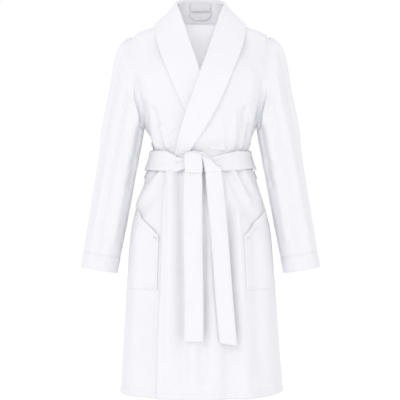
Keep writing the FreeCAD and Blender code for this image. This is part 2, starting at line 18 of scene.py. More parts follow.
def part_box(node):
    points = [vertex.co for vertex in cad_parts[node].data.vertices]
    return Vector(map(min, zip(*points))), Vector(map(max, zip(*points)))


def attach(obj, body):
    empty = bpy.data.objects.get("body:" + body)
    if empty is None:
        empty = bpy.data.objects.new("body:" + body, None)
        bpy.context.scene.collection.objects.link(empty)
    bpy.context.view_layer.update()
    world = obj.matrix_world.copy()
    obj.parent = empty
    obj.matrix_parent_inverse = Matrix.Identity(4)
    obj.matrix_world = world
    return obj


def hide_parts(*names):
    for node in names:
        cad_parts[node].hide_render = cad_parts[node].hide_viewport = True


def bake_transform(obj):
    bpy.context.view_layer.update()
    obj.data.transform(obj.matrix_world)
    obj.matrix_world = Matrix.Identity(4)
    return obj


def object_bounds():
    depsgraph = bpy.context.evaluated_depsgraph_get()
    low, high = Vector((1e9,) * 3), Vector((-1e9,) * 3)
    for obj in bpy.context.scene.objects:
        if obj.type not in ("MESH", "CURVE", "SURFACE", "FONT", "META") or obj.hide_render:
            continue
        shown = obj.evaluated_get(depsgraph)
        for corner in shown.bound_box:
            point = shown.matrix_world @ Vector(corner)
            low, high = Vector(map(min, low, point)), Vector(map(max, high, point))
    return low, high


bl_info = {
    "name": "Wrap Bathrobe",
    "version": (1, 0, 0),
    "blender": (4, 5, 0),
    "location": "View3D > Sidebar > Bathrobe",
    "description": "Dresses the bathrobe's frame in terry cloth, belt, collar, pockets and labels",
    "category": "Object",
}

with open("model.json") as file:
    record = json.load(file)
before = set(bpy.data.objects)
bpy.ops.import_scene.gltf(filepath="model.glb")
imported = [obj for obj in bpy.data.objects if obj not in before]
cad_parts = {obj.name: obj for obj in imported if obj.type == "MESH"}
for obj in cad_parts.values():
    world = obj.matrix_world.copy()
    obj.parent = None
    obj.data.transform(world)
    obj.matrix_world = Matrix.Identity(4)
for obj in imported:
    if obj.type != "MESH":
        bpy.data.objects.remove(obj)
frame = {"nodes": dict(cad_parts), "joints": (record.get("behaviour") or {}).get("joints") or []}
CAD_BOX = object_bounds()
MM = 0.001

# ---------------------------------------------------------------- heights and places from the frame

BACK_LOW, BACK_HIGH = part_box("back_panel")
BELT_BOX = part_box("belt_waistband")
HEM, NECK = BACK_LOW.z, BACK_HIGH.z
BELT_LOW, BELT_TOP = BELT_BOX[0].z, BELT_BOX[1].z
COLLAR_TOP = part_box("upper_collar_left")[1].z
JOINTS = {joint["name"]: joint for joint in frame["joints"]}
ARM_TOP = Vector(JOINTS["sleeve_left_raise"]["pos_m"])
AXIS_Y = ARM_TOP.y
UNDERARM = BELT_TOP + 0.063
SHOULDER = ARM_TOP.z - 0.006
V_POINT = UNDERARM + 0.6 * (SHOULDER - UNDERARM)
LAPEL_START = BELT_TOP + 0.03
ARM_LOW = Vector((0.15, AXIS_Y, UNDERARM + 0.004))
SIDES = (("left", 1), ("right", -1))


def above_hem(z):
    """Millimetres above the hem, the fold tables' own height."""
    return (z - HEM) / MM


def eased(start, stop, value):
    u = np.clip((value - start) / (stop - start), 0.0, 1.0)
    return u * u * (3 - 2 * u)


def sections(node, heights):
    """The corner points of a CAD node's cross-section at each height."""
    source = bmesh.new()
    source.from_mesh(frame["nodes"][node].data)
    bmesh.ops.remove_doubles(source, verts=source.verts, dist=1e-6)
    found = []
    for height in heights:
        cut = source.copy()
        everything = cut.verts[:] + cut.edges[:] + cut.faces[:]
        plane = {"plane_co": (0, 0, height), "plane_no": (0, 0, 1)}
        made = bmesh.ops.bisect_plane(cut, geom=everything, **plane)["geom_cut"]
        found.append(np.array([v.co for v in made if isinstance(v, bmesh.types.BMVert)]))
        cut.free()
    source.free()
    return found


def smoothed(values, reach):
    """A running average that keeps both ends."""
    window = np.hanning(2 * reach + 3)[1:-1]
    padded = np.pad(values, reach, mode="reflect", reflect_type="odd")
    return np.convolve(padded, window / window.sum(), mode="valid")


class WornShape:
    """Half width, half depth and the wrap's free edge at every height, read from the frame."""

    def __init__(self):
        knots = np.linspace(HEM + 0.0005, NECK - 0.0005, 56)
        wide, deep = [], []
        for points in sections("back_panel", knots):
            depth = points[:, 1].max() - AXIS_Y
            share = (points[:, 1] - AXIS_Y) / depth
            clear = points[(share > 0.3) & (share < 0.85)]
            round_share = (clear[:, 1] - AXIS_Y) / depth
            wide.append((np.abs(clear[:, 0]) / np.sqrt(1 - round_share**2)).max())
            deep.append(depth)
        edge = []
        for k, points in enumerate(sections("front_panel_left", knots)):
            turned = np.degrees(
                np.arctan2((points[:, 1] - AXIS_Y) / deep[k], points[:, 0] / wide[k])
            )
            edge.append((turned % 360.0).min())
        self.heights = np.linspace(HEM, NECK, 501)
        self.wide = smoothed(np.interp(self.heights, knots, wide), 7)
        self.deep = smoothed(np.interp(self.heights, knots, deep), 7)
        self.edge = smoothed(np.interp(self.heights, knots, edge), 4)

    def half_width(self, z):
        return np.interp(z, self.heights, self.wide)

    def half_depth(self, z):
        return np.interp(z, self.heights, self.deep)

    def wrap_edge(self, z):
        """The outer front's free edge, as an angle; 270 is centre front and 360 the left side."""
        return np.interp(z, self.heights, self.edge)


SHAPE = WornShape()

# ---------------------------------------------------------------- folds

# (x, height) from, (x, height) to, half width at each end, height of the ridge. A valley is below
# 0.
BODICE_FOLDS = [
    ((-150, 770), (-127, 648), 8, 5, -5.0),
    ((-126, 752), (-96, 647), 9, 5, -4.5),
    ((-140, 720), (-112, 655), 9, 6, 3.5),
    ((-104, 705), (-84, 655), 8, 6, 3.0),
    ((-96, 700), (-74, 648), 6, 5, -3.0),
    ((-70, 690), (-60, 650), 7, 5, -2.0),
    ((112, 752), (91, 640), 8, 5, -6.0),
    ((126, 712), (112, 640), 7, 5, -4.5),
    ((102, 720), (102, 655), 6, 5, 3.5),
    ((84, 735), (78, 655), 9, 7, 3.0),
    ((66, 700), (62, 650), 6, 5, -2.2),
    ((132, 735), (124, 652), 6, 5, 2.5),
    ((163, 830), (152, 735), 9, 7, -5.0),
    ((-170, 828), (-157, 745), 9, 7, -5.0),
    ((-148, 850), (-132, 780), 16, 18, 3.0),
    ((128, 850), (122, 780), 16, 16, 3.0),
    ((-90, 800), (-78, 740), 16, 14, 2.0),
    ((118, 905), (150, 840), 22, 18, -2.0),
    ((-118, 905), (-150, 840), 22, 18, -2.0),
]
SKIRT_FOLDS = [
    ((-73, 592), (-84, 120), 11, 20, 8.0),
    ((-52, 592), (-44, 40), 8, 15, -6.0),
    ((11, 592), (6, 60), 7, 16, -7.5),
    ((-20, 420), (-16, 0), 16, 22, 3.0),
    ((66, 590), (140, 455), 8, 16, -5.0),
    ((96, 592), (132, 535), 7, 12, -4.5),
    ((84, 590), (124, 515), 8, 12, 4.5),
    ((112, 592), (150, 520), 8, 12, 3.5),
    ((92, 480), (112, 0), 10, 20, 5.5),
    ((72, 500), (76, 0), 9, 18, -4.5),
    ((-102, 590), (-170, 505), 8, 12, 4.5),
    ((-96, 560), (-160, 480), 9, 13, -4.0),
    ((-112, 596), (-150, 556), 7, 9, -2.5),
    ((-134, 430), (-140, 120), 14, 20, -3.5),
    ((-158, 430), (-172, 60), 16, 24, 4.0),
    ((-112, 240), (-118, 0), 12, 18, 3.0),
    ((138, 420), (150, 80), 14, 22, -4.0),
    ((164, 400), (184, 20), 16, 22, 4.0),
    ((40, 260), (44, 0), 18, 26, 4.0),
]
GATHER_SPACING = 23.0
BACK_FOLDS = []
for number in range(-6, 7):
    middle = GATHER_SPACING * number + 6.0 * math.sin(2.3 * number)
    height = 3.4 + 1.6 * math.sin(1.7 * number + 0.6)
    reach = 120 + 60 * math.sin(1.1 * number + 2.0)
    BACK_FOLDS.append(((middle, 646), (middle * 1.16, 646 + reach), 6, 12, height))
    BACK_FOLDS.append(((middle + 11, 646), (middle * 1.1 + 12, 640 + reach), 5, 10, -height))
    BACK_FOLDS.append(((middle, 594), (middle * 1.32, 594 - 1.9 * reach), 7, 18, height))
    BACK_FOLDS.append(((middle + 11, 594), (middle * 1.3 + 14, 594 - 1.7 * reach), 6, 15, -height))
BACK_FOLDS.append(((8, 955), (10, 790), 6, 11, -6.0))
BACK_FOLDS.append(((-34, 930), (-26, 800), 14, 18, 3.0))


def stroked(x, height, strokes):
    """The summed height of soft ridges and valleys at places on the cloth."""
    total = np.zeros_like(x)
    for (x0, h0), (x1, h1), start, stop, rise in strokes:
        dx, dh = x1 - x0, h1 - h0
        along = np.clip(((x - x0) * dx + (height - h0) * dh) / (dx * dx + dh * dh), 0.0, 1.0)
        away = (x - x0 - along * dx) ** 2 + (height - h0 - along * dh) ** 2
        total += rise * np.exp(-away / (start + (stop - start) * along) ** 2)
    return total


def rumple(x, y, z):
    """Small soft unevenness with no repeat that shows, between about -1 and 1."""
    total = np.zeros_like(x)
    for k in range(7):
        across = 17.0 + 9.1 * k
        turn = 2.4 * k + 0.7
        wave = across * (x * math.cos(turn) + z * math.sin(turn)) + 0.6 * across * y + 1.9 * k
        total += np.sin(wave + 1.3 * np.sin(0.5 * across * (z - x) + k)) / (1.4 + 0.5 * k)
    return total / 3.2


FRONT_FOLD_GAIN = 1.35
# The shoulder pad, in millimetres: its height, how far it stands above the shoulder's height, and
# how far it spreads above and below that.
PAD_HEIGHT, PAD_RISE, PAD_ABOVE, PAD_BELOW = 21, 27, 17, 20


def drape(theta, z):
    """How far the cloth stands in or out of the worn shape, in metres, at an angle and a height."""
    turn = np.radians(theta)
    x = SHAPE.half_width(z) * np.cos(turn) / MM
    y = SHAPE.half_depth(z) * np.sin(turn)
    height = above_hem(z)
    front = eased(0.02, -0.03, y)
    belt_low, belt_top = above_hem(BELT_LOW), above_hem(BELT_TOP)
    total = FRONT_FOLD_GAIN * front * stroked(x, height, BODICE_FOLDS + SKIRT_FOLDS)
    total = total + (1 - front) * stroked(x, height, BACK_FOLDS)
    low = np.clip(1 - height / belt_low, 0.0, 1.0)
    total += low**0.8 * (3.6 * np.sin(7 * turn + 1.3) + 2.2 * np.sin(12 * turn + 0.4))
    total += 1.0 * rumple(x * MM, y, z) + 0.35 * rumple(2.7 * x * MM, 2.7 * y, 2.1 * z)
    blouse = np.exp(-(((height - belt_top - 26) / 20) ** 2)) * 4.0
    total += blouse + np.exp(-(((height - belt_low + 16) / 16) ** 2)) * 2.0
    across = np.abs(np.cos(turn)) ** 3
    shoulder = above_hem(SHOULDER)
    over_belt_top = eased(belt_top - 6, belt_top + 4, height)
    held = eased(belt_low - 4, belt_low + 6, height) * (1 - over_belt_top)
    top = eased(shoulder - 60, above_hem(NECK) - 20, height)
    above = height - shoulder - PAD_RISE
    spread = np.where(above > 0, PAD_ABOVE, PAD_BELOW)
    padded = across * PAD_HEIGHT * np.exp(-((above / spread) ** 2))
    return (total * (1 - 0.85 * held) * (1 - 0.8 * top) + padded) * MM


WRAP_HEIGHTS = [HEM, BELT_TOP, LAPEL_START, V_POINT, SHOULDER, NECK]
WRAP_RAISES = [0.0042, 0.0042, 0.0124, 0.0124, 0.0, 0.0]


def wrap_lay(theta, z):
    """The outer front's lift over the layers beneath it."""
    return np.interp(z, WRAP_HEIGHTS, WRAP_RAISES) * (1 - eased(300.0, 348.0, theta))


def flat_lay(theta, z):
    return np.zeros_like(z)


def on_ring(theta, z, lift):
    turn = np.radians(theta)
    x = (SHAPE.half_width(z) + lift) * np.cos(turn)
    y = AXIS_Y + (SHAPE.half_depth(z) + lift) * np.sin(turn)
    return np.stack([x, y, z + 0 * x], axis=-1)


def front_theta(x, z):
    share = np.clip(x / SHAPE.half_width(z), -1.0, 1.0)
    return 360.0 - np.degrees(np.arccos(share))


def front_y(x, z, lift):
    wide, deep = SHAPE.half_width(z) + lift, SHAPE.half_depth(z) + lift
    return AXIS_Y - deep * np.sqrt(np.clip(1 - (x / wide) ** 2, 0.0, 1.0))


# ---------------------------------------------------------------- making meshes


def finished(name, mesh_maker, material):
    """Puts a bmesh in the scene as a smooth piece."""
    data = bpy.data.meshes.new(name)
    mesh_maker.to_mesh(data)
    mesh_maker.free()
    data.polygons.foreach_set("use_smooth", [True] * len(data.polygons))
    data.materials.append(material)
    piece = bpy.data.objects.new(name, data)
    bpy.context.scene.collection.objects.link(piece)
    return piece


def grid_rows(maker, places):
    """Adds a grid to a bmesh and gives its corners their places, shaped (rows, columns, 3)."""
    rows, columns = places.shape[:2]
    known = len(maker.verts)
    segments = {"x_segments": columns - 1, "y_segments": rows - 1}
    bmesh.ops.create_grid(maker, size=0.5, calc_uvs=True, **segments)
    maker.verts.ensure_lookup_table()
    for vertex in maker.verts[known:]:
        column = round((vertex.co.x + 0.5) * (columns - 1))
        row = round((vertex.co.y + 0.5) * (rows - 1))
        vertex.co = places[row, column]


def new_maker():
    maker = bmesh.new()
    maker.loops.layers.uv.new("UVMap")
    return maker


def facing_out(maker, outward):
    """Turns a sheet's faces, all together, the way that outward(place) points."""
    maker.normal_update()
    total = 0.0
    for face in maker.faces:
        total += face.normal.dot(outward(face.calc_center_median()))
    if total < 0:
        bmesh.ops.reverse_faces(maker, faces=maker.faces)


def lined(name, maker, material, thickness):
    """Finishes a sheet of cloth; its thickness goes inwards."""
    piece = finished(name, maker, material)
    wall = piece.modifiers.new("Thickness", "SOLIDIFY")
    wall.thickness = thickness
    wall.offset = -1.0
    return piece


def sheet_of(name, places, material, thickness):
    """An open sheet of cloth whose right side is at places."""
    maker = new_maker()
    grid_rows(maker, places)
    facing_out(maker, lambda place: Vector((place.x, place.y - AXIS_Y, 0)))
    return lined(name, maker, material, thickness)


def tube_of(name, places, material, thickness):
    """A closed tube of cloth from rings of points."""
    maker = new_maker()
    grid_rows(maker, places)
    bmesh.ops.remove_doubles(maker, verts=maker.verts, dist=1e-6)
    centres = places.mean(axis=1)

    def from_centre(place):
        return place - Vector(centres[np.argmin(np.abs(centres[:, 2] - place.z))])

    facing_out(maker, from_centre)
    return lined(name, maker, material, thickness)


def surface_normals(places, reference):
    """Unit normals of a grid of points, pointing the way reference does."""
    along = np.gradient(places, axis=0)
    across = np.gradient(places, axis=1)
    normals = np.cross(along, across)
    normals /= np.maximum(np.linalg.norm(normals, axis=-1, keepdims=True), 1e-12)
    way = np.sign((normals * reference).sum(axis=-1, keepdims=True).mean())
    return normals * (way if way else 1.0)


def edge_spaced(count, length, radius):
    """Shares of a length from 0 to 1, close together where an edge of that radius rounds off."""
    turns = np.radians([0.0, 20.0, 42.0, 66.0])
    rounding = radius * (1 - np.cos(turns)) / length
    inner = np.linspace(radius / length, 1 - radius / length, count)
    return np.concatenate([rounding, inner, 1 - rounding[::-1]])


def rounded(distance, radius):
    return np.sqrt(np.clip(1 - (1 - np.clip(distance / radius, 0.0, 1.0)) ** 2, 0.0, 1.0))


def pillow(name, surface, lengths, half, material, counts, reference=(0, -1, 0), closed=False):
    """A strip of doubled cloth with round edges. surface(s, t) gives its middle; half, its half
    thickness, is a number or a function of (s, t); lengths are its size along s and across t."""
    thick = half if callable(half) else (lambda s, t: half + 0 * s)
    radius = float(np.max(thick(np.array([0.0, 0.5, 1.0]), np.array([0.0, 0.5, 1.0]))))
    if closed:
        rows = np.linspace(0.0, 1.0, counts[0])
    else:
        rows = edge_spaced(counts[0], lengths[0], radius)
    columns = edge_spaced(counts[1], lengths[1], radius)
    s, t = np.meshgrid(rows, columns, indexing="ij")
    middle = surface(s, t)
    if callable(reference):
        reference = reference(middle)
    normals = surface_normals(middle, np.asarray(reference, float))
    if closed:
        normals[0] = normals[-1] = (normals[0] + normals[-1]) / 2
    depth = thick(s, t) * rounded(np.minimum(t, 1 - t) * lengths[1], radius)
    if not closed:
        depth = depth * rounded(np.minimum(s, 1 - s) * lengths[0], radius)
    maker = new_maker()
    grid_rows(maker, middle + normals * depth[..., None])
    grid_rows(maker, middle - normals * depth[..., None])
    bmesh.ops.remove_doubles(maker, verts=maker.verts, dist=2e-6)
    bmesh.ops.recalc_face_normals(maker, faces=maker.faces)
    return finished(name, maker, material)


def stitches(name, paths, material, spacing=0.0045, length=0.003, width=0.0007):
    """Rows of thread stitches. Each path is (points, normals) along the seam."""
    maker = new_maker()
    for points, normals in paths:
        steps = np.linalg.norm(np.diff(points, axis=0), axis=1)
        far = np.concatenate([[0.0], np.cumsum(steps)])
        for place in np.arange(spacing / 2, far[-1], spacing):
            here = Vector([np.interp(place, far, points[:, k]) for k in range(3)])
            ahead = Vector([np.interp(place + length / 2, far, points[:, k]) for k in range(3)])
            out = Vector([np.interp(place, far, normals[:, k]) for k in range(3)]).normalized()
            forward = (ahead - here).normalized()
            if forward.length < 0.5:
                continue
            side = out.cross(forward).normalized()
            turn = Matrix((forward, side, out)).transposed().to_4x4()
            size = Matrix.Diagonal((length, width, width * 0.8, 1.0))
            bmesh.ops.create_cube(maker, size=1.0, matrix=Matrix.Translation(here) @ turn @ size)
    return finished(name, maker, material)


def declare(piece, body, nodes):
    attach(piece, body)
    if nodes:
        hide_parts(*nodes)
    return piece


# ---------------------------------------------------------------- materials


class Value:
    """A shader socket that adds up like a number."""

    def __init__(self, paint, socket):
        self.paint, self.socket = paint, socket

    def maths(self, operation, other, swapped=False):
        pair = (other, self) if swapped else (self, other)
        values = {0: pair[0], 1: pair[1]}
        return self.paint.node("ShaderNodeMath", {"operation": operation}, values)

    def __add__(self, other):
        return self.maths("ADD", other)

    __radd__ = __add__

    def __mul__(self, other):
        return self.maths("MULTIPLY", other)

    __rmul__ = __mul__

    def __sub__(self, other):
        return self.maths("SUBTRACT", other)

    def __rsub__(self, other):
        return self.maths("SUBTRACT", other, swapped=True)


class Paint:
    """One material and the nodes it is made from."""

    def __init__(self, name):
        self.material = bpy.data.materials.new(name)
        self.material.use_nodes = True
        self.tree = self.material.node_tree
        self.shader = self.tree.nodes["Principled BSDF"]

    def put(self, socket, value):
        if isinstance(value, Value):
            self.tree.links.new(value.socket, socket)
        else:
            socket.default_value = value

    def node(self, kind, settings=None, values=None, output=0):
        made = self.tree.nodes.new(kind)
        for key, value in (settings or {}).items():
            setattr(made, key, value)
        for key, value in (values or {}).items():
            self.put(made.inputs[key], value)
        return Value(self, made.outputs[output])

    def coordinates(self):
        return self.node("ShaderNodeTexCoord", output="Object")

    def noise(self, scale, detail=2.0, roughness=0.5, vector=None, stretch=None):
        place = vector or self.coordinates()
        if stretch:
            place = self.node("ShaderNodeMapping", None, {"Vector": place, "Scale": stretch})
        values = {"Vector": place, "Scale": scale, "Detail": detail, "Roughness": roughness}
        return self.node("ShaderNodeTexNoise", None, values)

    def wave(self, place, scale, distortion, bands="X"):
        values = {"Vector": place, "Scale": scale, "Distortion": distortion}
        return self.node("ShaderNodeTexWave", {"bands_direction": bands}, values)

    def mix(self, share, first, second):
        # A Mix node's colour sockets have the names of its number sockets, so they go by place.
        values = {0: share, 6: first, 7: second}
        return self.node("ShaderNodeMix", {"data_type": "RGBA"}, values, output=2)

    def bump(self, height, distance, strength=1.0, under=None):
        values = {"Height": height, "Distance": distance, "Strength": strength}
        if under:
            values["Normal"] = under
        return self.node("ShaderNodeBump", None, values)

    def set(self, **sockets):
        for name, value in sockets.items():
            self.put(self.shader.inputs[name.replace("_", " ")], value)
        return self.material


def shade(colour, factor):
    return (*[min(1.0, c * factor) for c in colour], 1.0)


def terry(name, colour, pile, ribs=0.0):
    """Short cut pile: soft clumps, a fine nap and a low sheen."""
    paint = Paint(name)
    place = paint.coordinates()
    clumps = paint.noise(310.0, 3.0, 0.6, place)
    nap = paint.noise(1300.0, 2.0, 0.7, place)
    brushed = paint.noise(46.0, 3.0, 0.55, place, stretch=(1.0, 1.0, 0.45))
    loops = paint.node(
        "ShaderNodeTexVoronoi",
        {"feature": "SMOOTH_F1"},
        {"Vector": place, "Scale": 620.0, "Smoothness": 0.6},
        "Distance",
    )
    mottling = 0.5 * clumps + 0.3 * brushed + 0.2 * nap
    tone = paint.mix(mottling, shade(colour, 0.93), shade(colour, 1.04))
    height = 0.55 * clumps + 0.25 * nap + 0.35 * (1 - loops)
    if ribs:
        weave = paint.wave(place, 90.0, 1.5)
        height = height + ribs * weave
    soft = paint.bump(brushed, 0.0016, 0.5)
    paint.set(
        Base_Color=tone,
        Roughness=0.82 + 0.16 * clumps,
        Normal=paint.bump(height, pile, 0.55, soft),
    )
    return paint.set(Sheen_Weight=0.28, Sheen_Roughness=0.55, Specular_IOR_Level=0.18)


def thread(name, colour):
    """Spun thread with its twist."""
    paint = Paint(name)
    place = paint.coordinates()
    twist = paint.wave(place, 700.0, 1.0)
    fleck = paint.noise(600.0, 2.0, 0.5, place)
    tone = paint.mix(fleck, shade(colour, 0.94), shade(colour, 1.03))
    relief = paint.bump(twist, 0.0002, 0.5)
    paint.set(Base_Color=tone, Roughness=0.5 + 0.15 * twist, Normal=relief)
    return paint.set(Sheen_Weight=0.1, Specular_IOR_Level=0.35)


def woven(name, colour, scale, gloss):
    """A narrow weave: warp and weft crossing."""
    paint = Paint(name)
    place = paint.coordinates()
    cross = paint.wave(place, scale, 0.3, "Z") * paint.wave(place, scale, 0.3, "X")
    tone = paint.mix(cross, shade(colour, 0.92), shade(colour, 1.03))
    height = cross + 0.3 * paint.noise(900.0, 2.0, 0.5, place)
    relief = paint.bump(height, 0.0003, 0.6)
    paint.set(Base_Color=tone, Roughness=gloss + 0.15 * cross, Normal=relief)
    return paint.set(Sheen_Weight=0.12, Specular_IOR_Level=0.3)


MATERIALS = {}


def materials():
    """Every finish, made once."""
    if MATERIALS:
        return MATERIALS
    finish = bpy.context.scene.robe_finish
    pile = finish.pile
    MATERIALS["terry"] = terry("velour_terry", finish.cloth, pile)
    MATERIALS["collar"] = terry("collar_terry", [c * 1.01 for c in finish.cloth], pile * 1.1)
    # Painted light: the cloth's inside is painted lighter than its outside.
    lit = terry("inside_terry_painted_glow", [min(c * 1.14, 0.93) for c in finish.cloth], pile * 1.25)
    # Painted light: the inside also glows faintly through emission, standing in for studio light
    # that would come through the thin cloth to its inside.
    shader = lit.node_tree.nodes["Principled BSDF"]
    shader.inputs["Emission Color"].default_value = (1.0, 1.0, 1.0, 1.0)
    shader.inputs["Emission Strength"].default_value = finish.glow
    MATERIALS["inside"] = lit
    MATERIALS["belt"] = terry("belt_terry", [c * 1.005 for c in finish.cloth], pile, 0.12)
    MATERIALS["thread"] = thread("sewing_thread", finish.thread)
    MATERIALS["tape"] = woven("twill_tape", finish.tape, 420.0, 0.6)
    MATERIALS["satin"] = woven("label_satin", finish.label, 800.0, 0.35)
    return MATERIALS


# ---------------------------------------------------------------- body panels

PANEL_COLUMNS = 132
PANEL_ROWS = 250
HEM_DEPTH = 0.016


def panel_heights(count):
    """Heights from hem to neck at even steps along the cloth, so the shoulder gets its rows."""
    slope = np.hypot(np.gradient(SHAPE.wide), np.gradient(SHAPE.heights))
    far = np.concatenate([[0.0], np.cumsum((slope[1:] + slope[:-1]) / 2)])
    return np.interp(np.linspace(0, far[-1], count), far, SHAPE.heights)


def armhole_x(z):
    """Where the armhole's line is at a height, on the wearer's left."""
    share = (z - ARM_LOW.z) / (ARM_TOP.z - ARM_LOW.z)
    return ARM_LOW.x + (ARM_TOP.x - ARM_LOW.x) * share


def side_turn(z):
    """Degrees from the side that the armhole takes off a panel at each height."""
    share = np.clip(armhole_x(z) / SHAPE.half_width(z), 0.0, 1.0)
    turn = np.degrees(np.arccos(share))
    return np.where((z > ARM_LOW.z) & (z < ARM_TOP.z), turn, 0.0)


def hem_roll(z):
    """The turned-up hem's thickness and the stitch line pressed into it."""
    up = z - HEM
    thick = 0.9 * (1 - eased(HEM_DEPTH - 0.001, HEM_DEPTH + 0.002, up))
    pressed = 1.1 * np.exp(-(((up - HEM_DEPTH) / 0.0016) ** 2))
    return (thick - pressed) * MM


def panel(name, node, start, stop, lay, thickness):
    heights = panel_heights(PANEL_ROWS)
    shares = np.linspace(0.0, 1.0, PANEL_COLUMNS)
    z, share = np.meshgrid(heights, shares, indexing="ij")
    theta = start(z) + (stop(z) - start(z)) * share
    lift = lay(theta, z) + drape(theta, z) + hem_roll(z)
    piece = sheet_of(name, on_ring(theta, z, lift), materials()["terry"], thickness)
    # The cloth's inside faces take the inside material, whose lighter colour and glow are painted
    # light.
    piece.data.materials.append(materials()["inside"])
    piece.modifiers["Thickness"].material_offset = 1
    return declare(piece, "root", [node])


def make_body():
    thickness = bpy.context.scene.robe_sizes.cloth_thickness
    back = panel(
        "back_body",
        "back_panel",
        side_turn,
        lambda z: 180.0 - side_turn(z),
        flat_lay,
        thickness,
    )
    over = panel(
        "front_over",
        "front_panel_left",
        SHAPE.wrap_edge,
        lambda z: 360.0 - side_turn(z),
        lambda theta, z: wrap_lay(theta, z) + front_edge_lift(theta, z),
        thickness,
    )
    under = panel(
        "front_under",
        "front_panel_right",
        lambda z: 180.0 + side_turn(z),
        lambda z: 540.0 - SHAPE.wrap_edge(z),
        flat_lay,
        thickness,
    )
    rows = []
    for start, stop, lay in (
        (2.0, 178.0, flat_lay),
        (float(SHAPE.wrap_edge(HEM)) + 1.5, 358.0, wrap_lay),
        (182.0, 236.0, flat_lay),
    ):
        theta = np.linspace(start, stop, 240)
        z = np.full_like(theta, HEM + HEM_DEPTH)
        lift = lay(theta, z) + drape(theta, z) + hem_roll(z) + 0.0002
        points = on_ring(theta, z, lift)
        rows.append((points, points - np.array([0, AXIS_Y, 0]) - [0, 0, HEM + HEM_DEPTH]))
    hem = stitches("hem_stitches", rows, materials()["thread"], spacing=0.0055, length=0.0036)
    declare(hem, "root", [])


def front_edge_lift(theta, z):
    """The over front's free edge stands a little proud, as a folded and pressed edge does."""
    away = (theta - SHAPE.wrap_edge(z)) * np.radians(1.0) * SHAPE.half_width(z)
    skirt = 1 - eased(BELT_LOW - 0.03, BELT_LOW, z)
    edge = 2.2 * np.exp(-((away / 0.012) ** 2)) - 1.0 * np.exp(-(((away - 0.018) / 0.004) ** 2))
    return edge * skirt * MM


# ---------------------------------------------------------------- collar

# The roll is the V edge, the free edge is the shawl's outer edge: x, and share of the fall from the
# neck seam to the belt (or, above the seam, of the collar's stand).
FRONT_ROLL = [(57, 0.42), (50, 0.1), (36, -0.109), (17, -0.29), (-3, -0.444), (-20, -0.596)]
FRONT_ROLL += [(-37, -0.722), (-50, -0.853), (-60, -0.983), (-66, -1.07)]
FRONT_FREE = [(119, -0.078), (120, -0.145), (112, -0.256), (91, -0.383), (71, -0.518)]
FRONT_FREE += [(50, -0.656), (25, -0.786), (0, -0.898), (-25, -0.986), (-38, -1.06)]
BACK_COLLAR = [
    ((0, 52, 1.0), (0, 62, 0.58), (0, 66, 0.03)),
    ((26, 48, 0.98), (34, 59, 0.55), (40, 61, 0.0)),
    ((45, 34, 0.9), (62, 42, 0.45), (76, 42, -0.1)),
    ((58, 6, 0.66), (86, 8, 0.2), (114, 4, -0.29)),
]
STAND = COLLAR_TOP - NECK
FALL = NECK - BELT_TOP
SHOULDER_CLEAR = 0.008
COLLAR_HALF_WIDTH, COLLAR_HALF_DEPTH = 0.11, 0.075
# How far down its knots each half's lapel goes before it ends under the belt.
LAPEL_LAST = {"left": 0.97, "right": 0.9}


def through(knots, at):
    """A smooth curve through evenly numbered knots, at places from 0 to 1 along it."""
    knots = np.asarray(knots, float)
    last = len(knots) - 1
    place = np.clip(np.asarray(at) * last, 0, last - 1e-9)
    i = place.astype(int)
    u = (place - i)[..., None]
    a, b = knots[np.maximum(i - 1, 0)], knots[i]
    c, d = knots[i + 1], knots[np.minimum(i + 2, last)]
    return 0.5 * (
        2 * b + (c - a) * u + (2 * a - 5 * b + 4 * c - d) * u**2 + (3 * b - a - 3 * c + d) * u**3
    )


def lapel_knots(table):
    return [(x * MM, NECK + share * (STAND if share > 0 else FALL)) for x, share in table]


ROLL_KNOTS, FREE_KNOTS = lapel_knots(FRONT_ROLL), lapel_knots(FRONT_FREE)


def front_fall(share, across, lay):
    """Points across a lapel, at one place down its length."""
    roll, free = through(ROLL_KNOTS, share), through(FREE_KNOTS, share)
    over_shoulder = 1 - eased(0.0, 0.1, share)
    clear = SHOULDER_CLEAR * (1 - eased(0.05, 0.4, share))
    x = roll[0] + (free[0] - roll[0]) * across
    z = roll[1] + (free[1] - roll[1]) * across + clear
    theta = front_theta(x, z)
    pressed = 0.013 * eased(BELT_TOP + 0.008, BELT_TOP - 0.016, z)
    lift = lay(theta, z) + clear + 0.7 * drape(theta, z) * eased(0.3, 0.6, share) - pressed
    y = front_y(x, z, lift)
    y = y + (AXIS_Y - 0.022 - y) * over_shoulder
    return np.stack([x, y, z], axis=-1)


def back_fall(station, across):
    """Points over the collar at the back: from its roll through its belly to its free edge."""
    a, b, c = (np.array([x * MM, AXIS_Y + y * MM, NECK + share * STAND]) for x, y, share in station)
    pull = 2 * b - (a + c) / 2
    u = across[:, None]
    return a * (1 - u) ** 2 + pull * 2 * u * (1 - u) + c * u**2


def collar_rows(side, lay, last):
    """The collar half's middle surface as rows of points, from centre back to under the belt."""
    across = np.linspace(0.0, 1.0, 13)
    rows = [back_fall(station, across) for station in BACK_COLLAR]
    for k in range(17):
        rows.append(front_fall(last * k / 16, across, lay))
    rows = np.array(rows)
    for _ in range(2):
        rows[1:-1] = (rows[:-2] + 2 * rows[1:-1] + rows[2:]) / 4
    rows[..., 0] *= side
    return rows


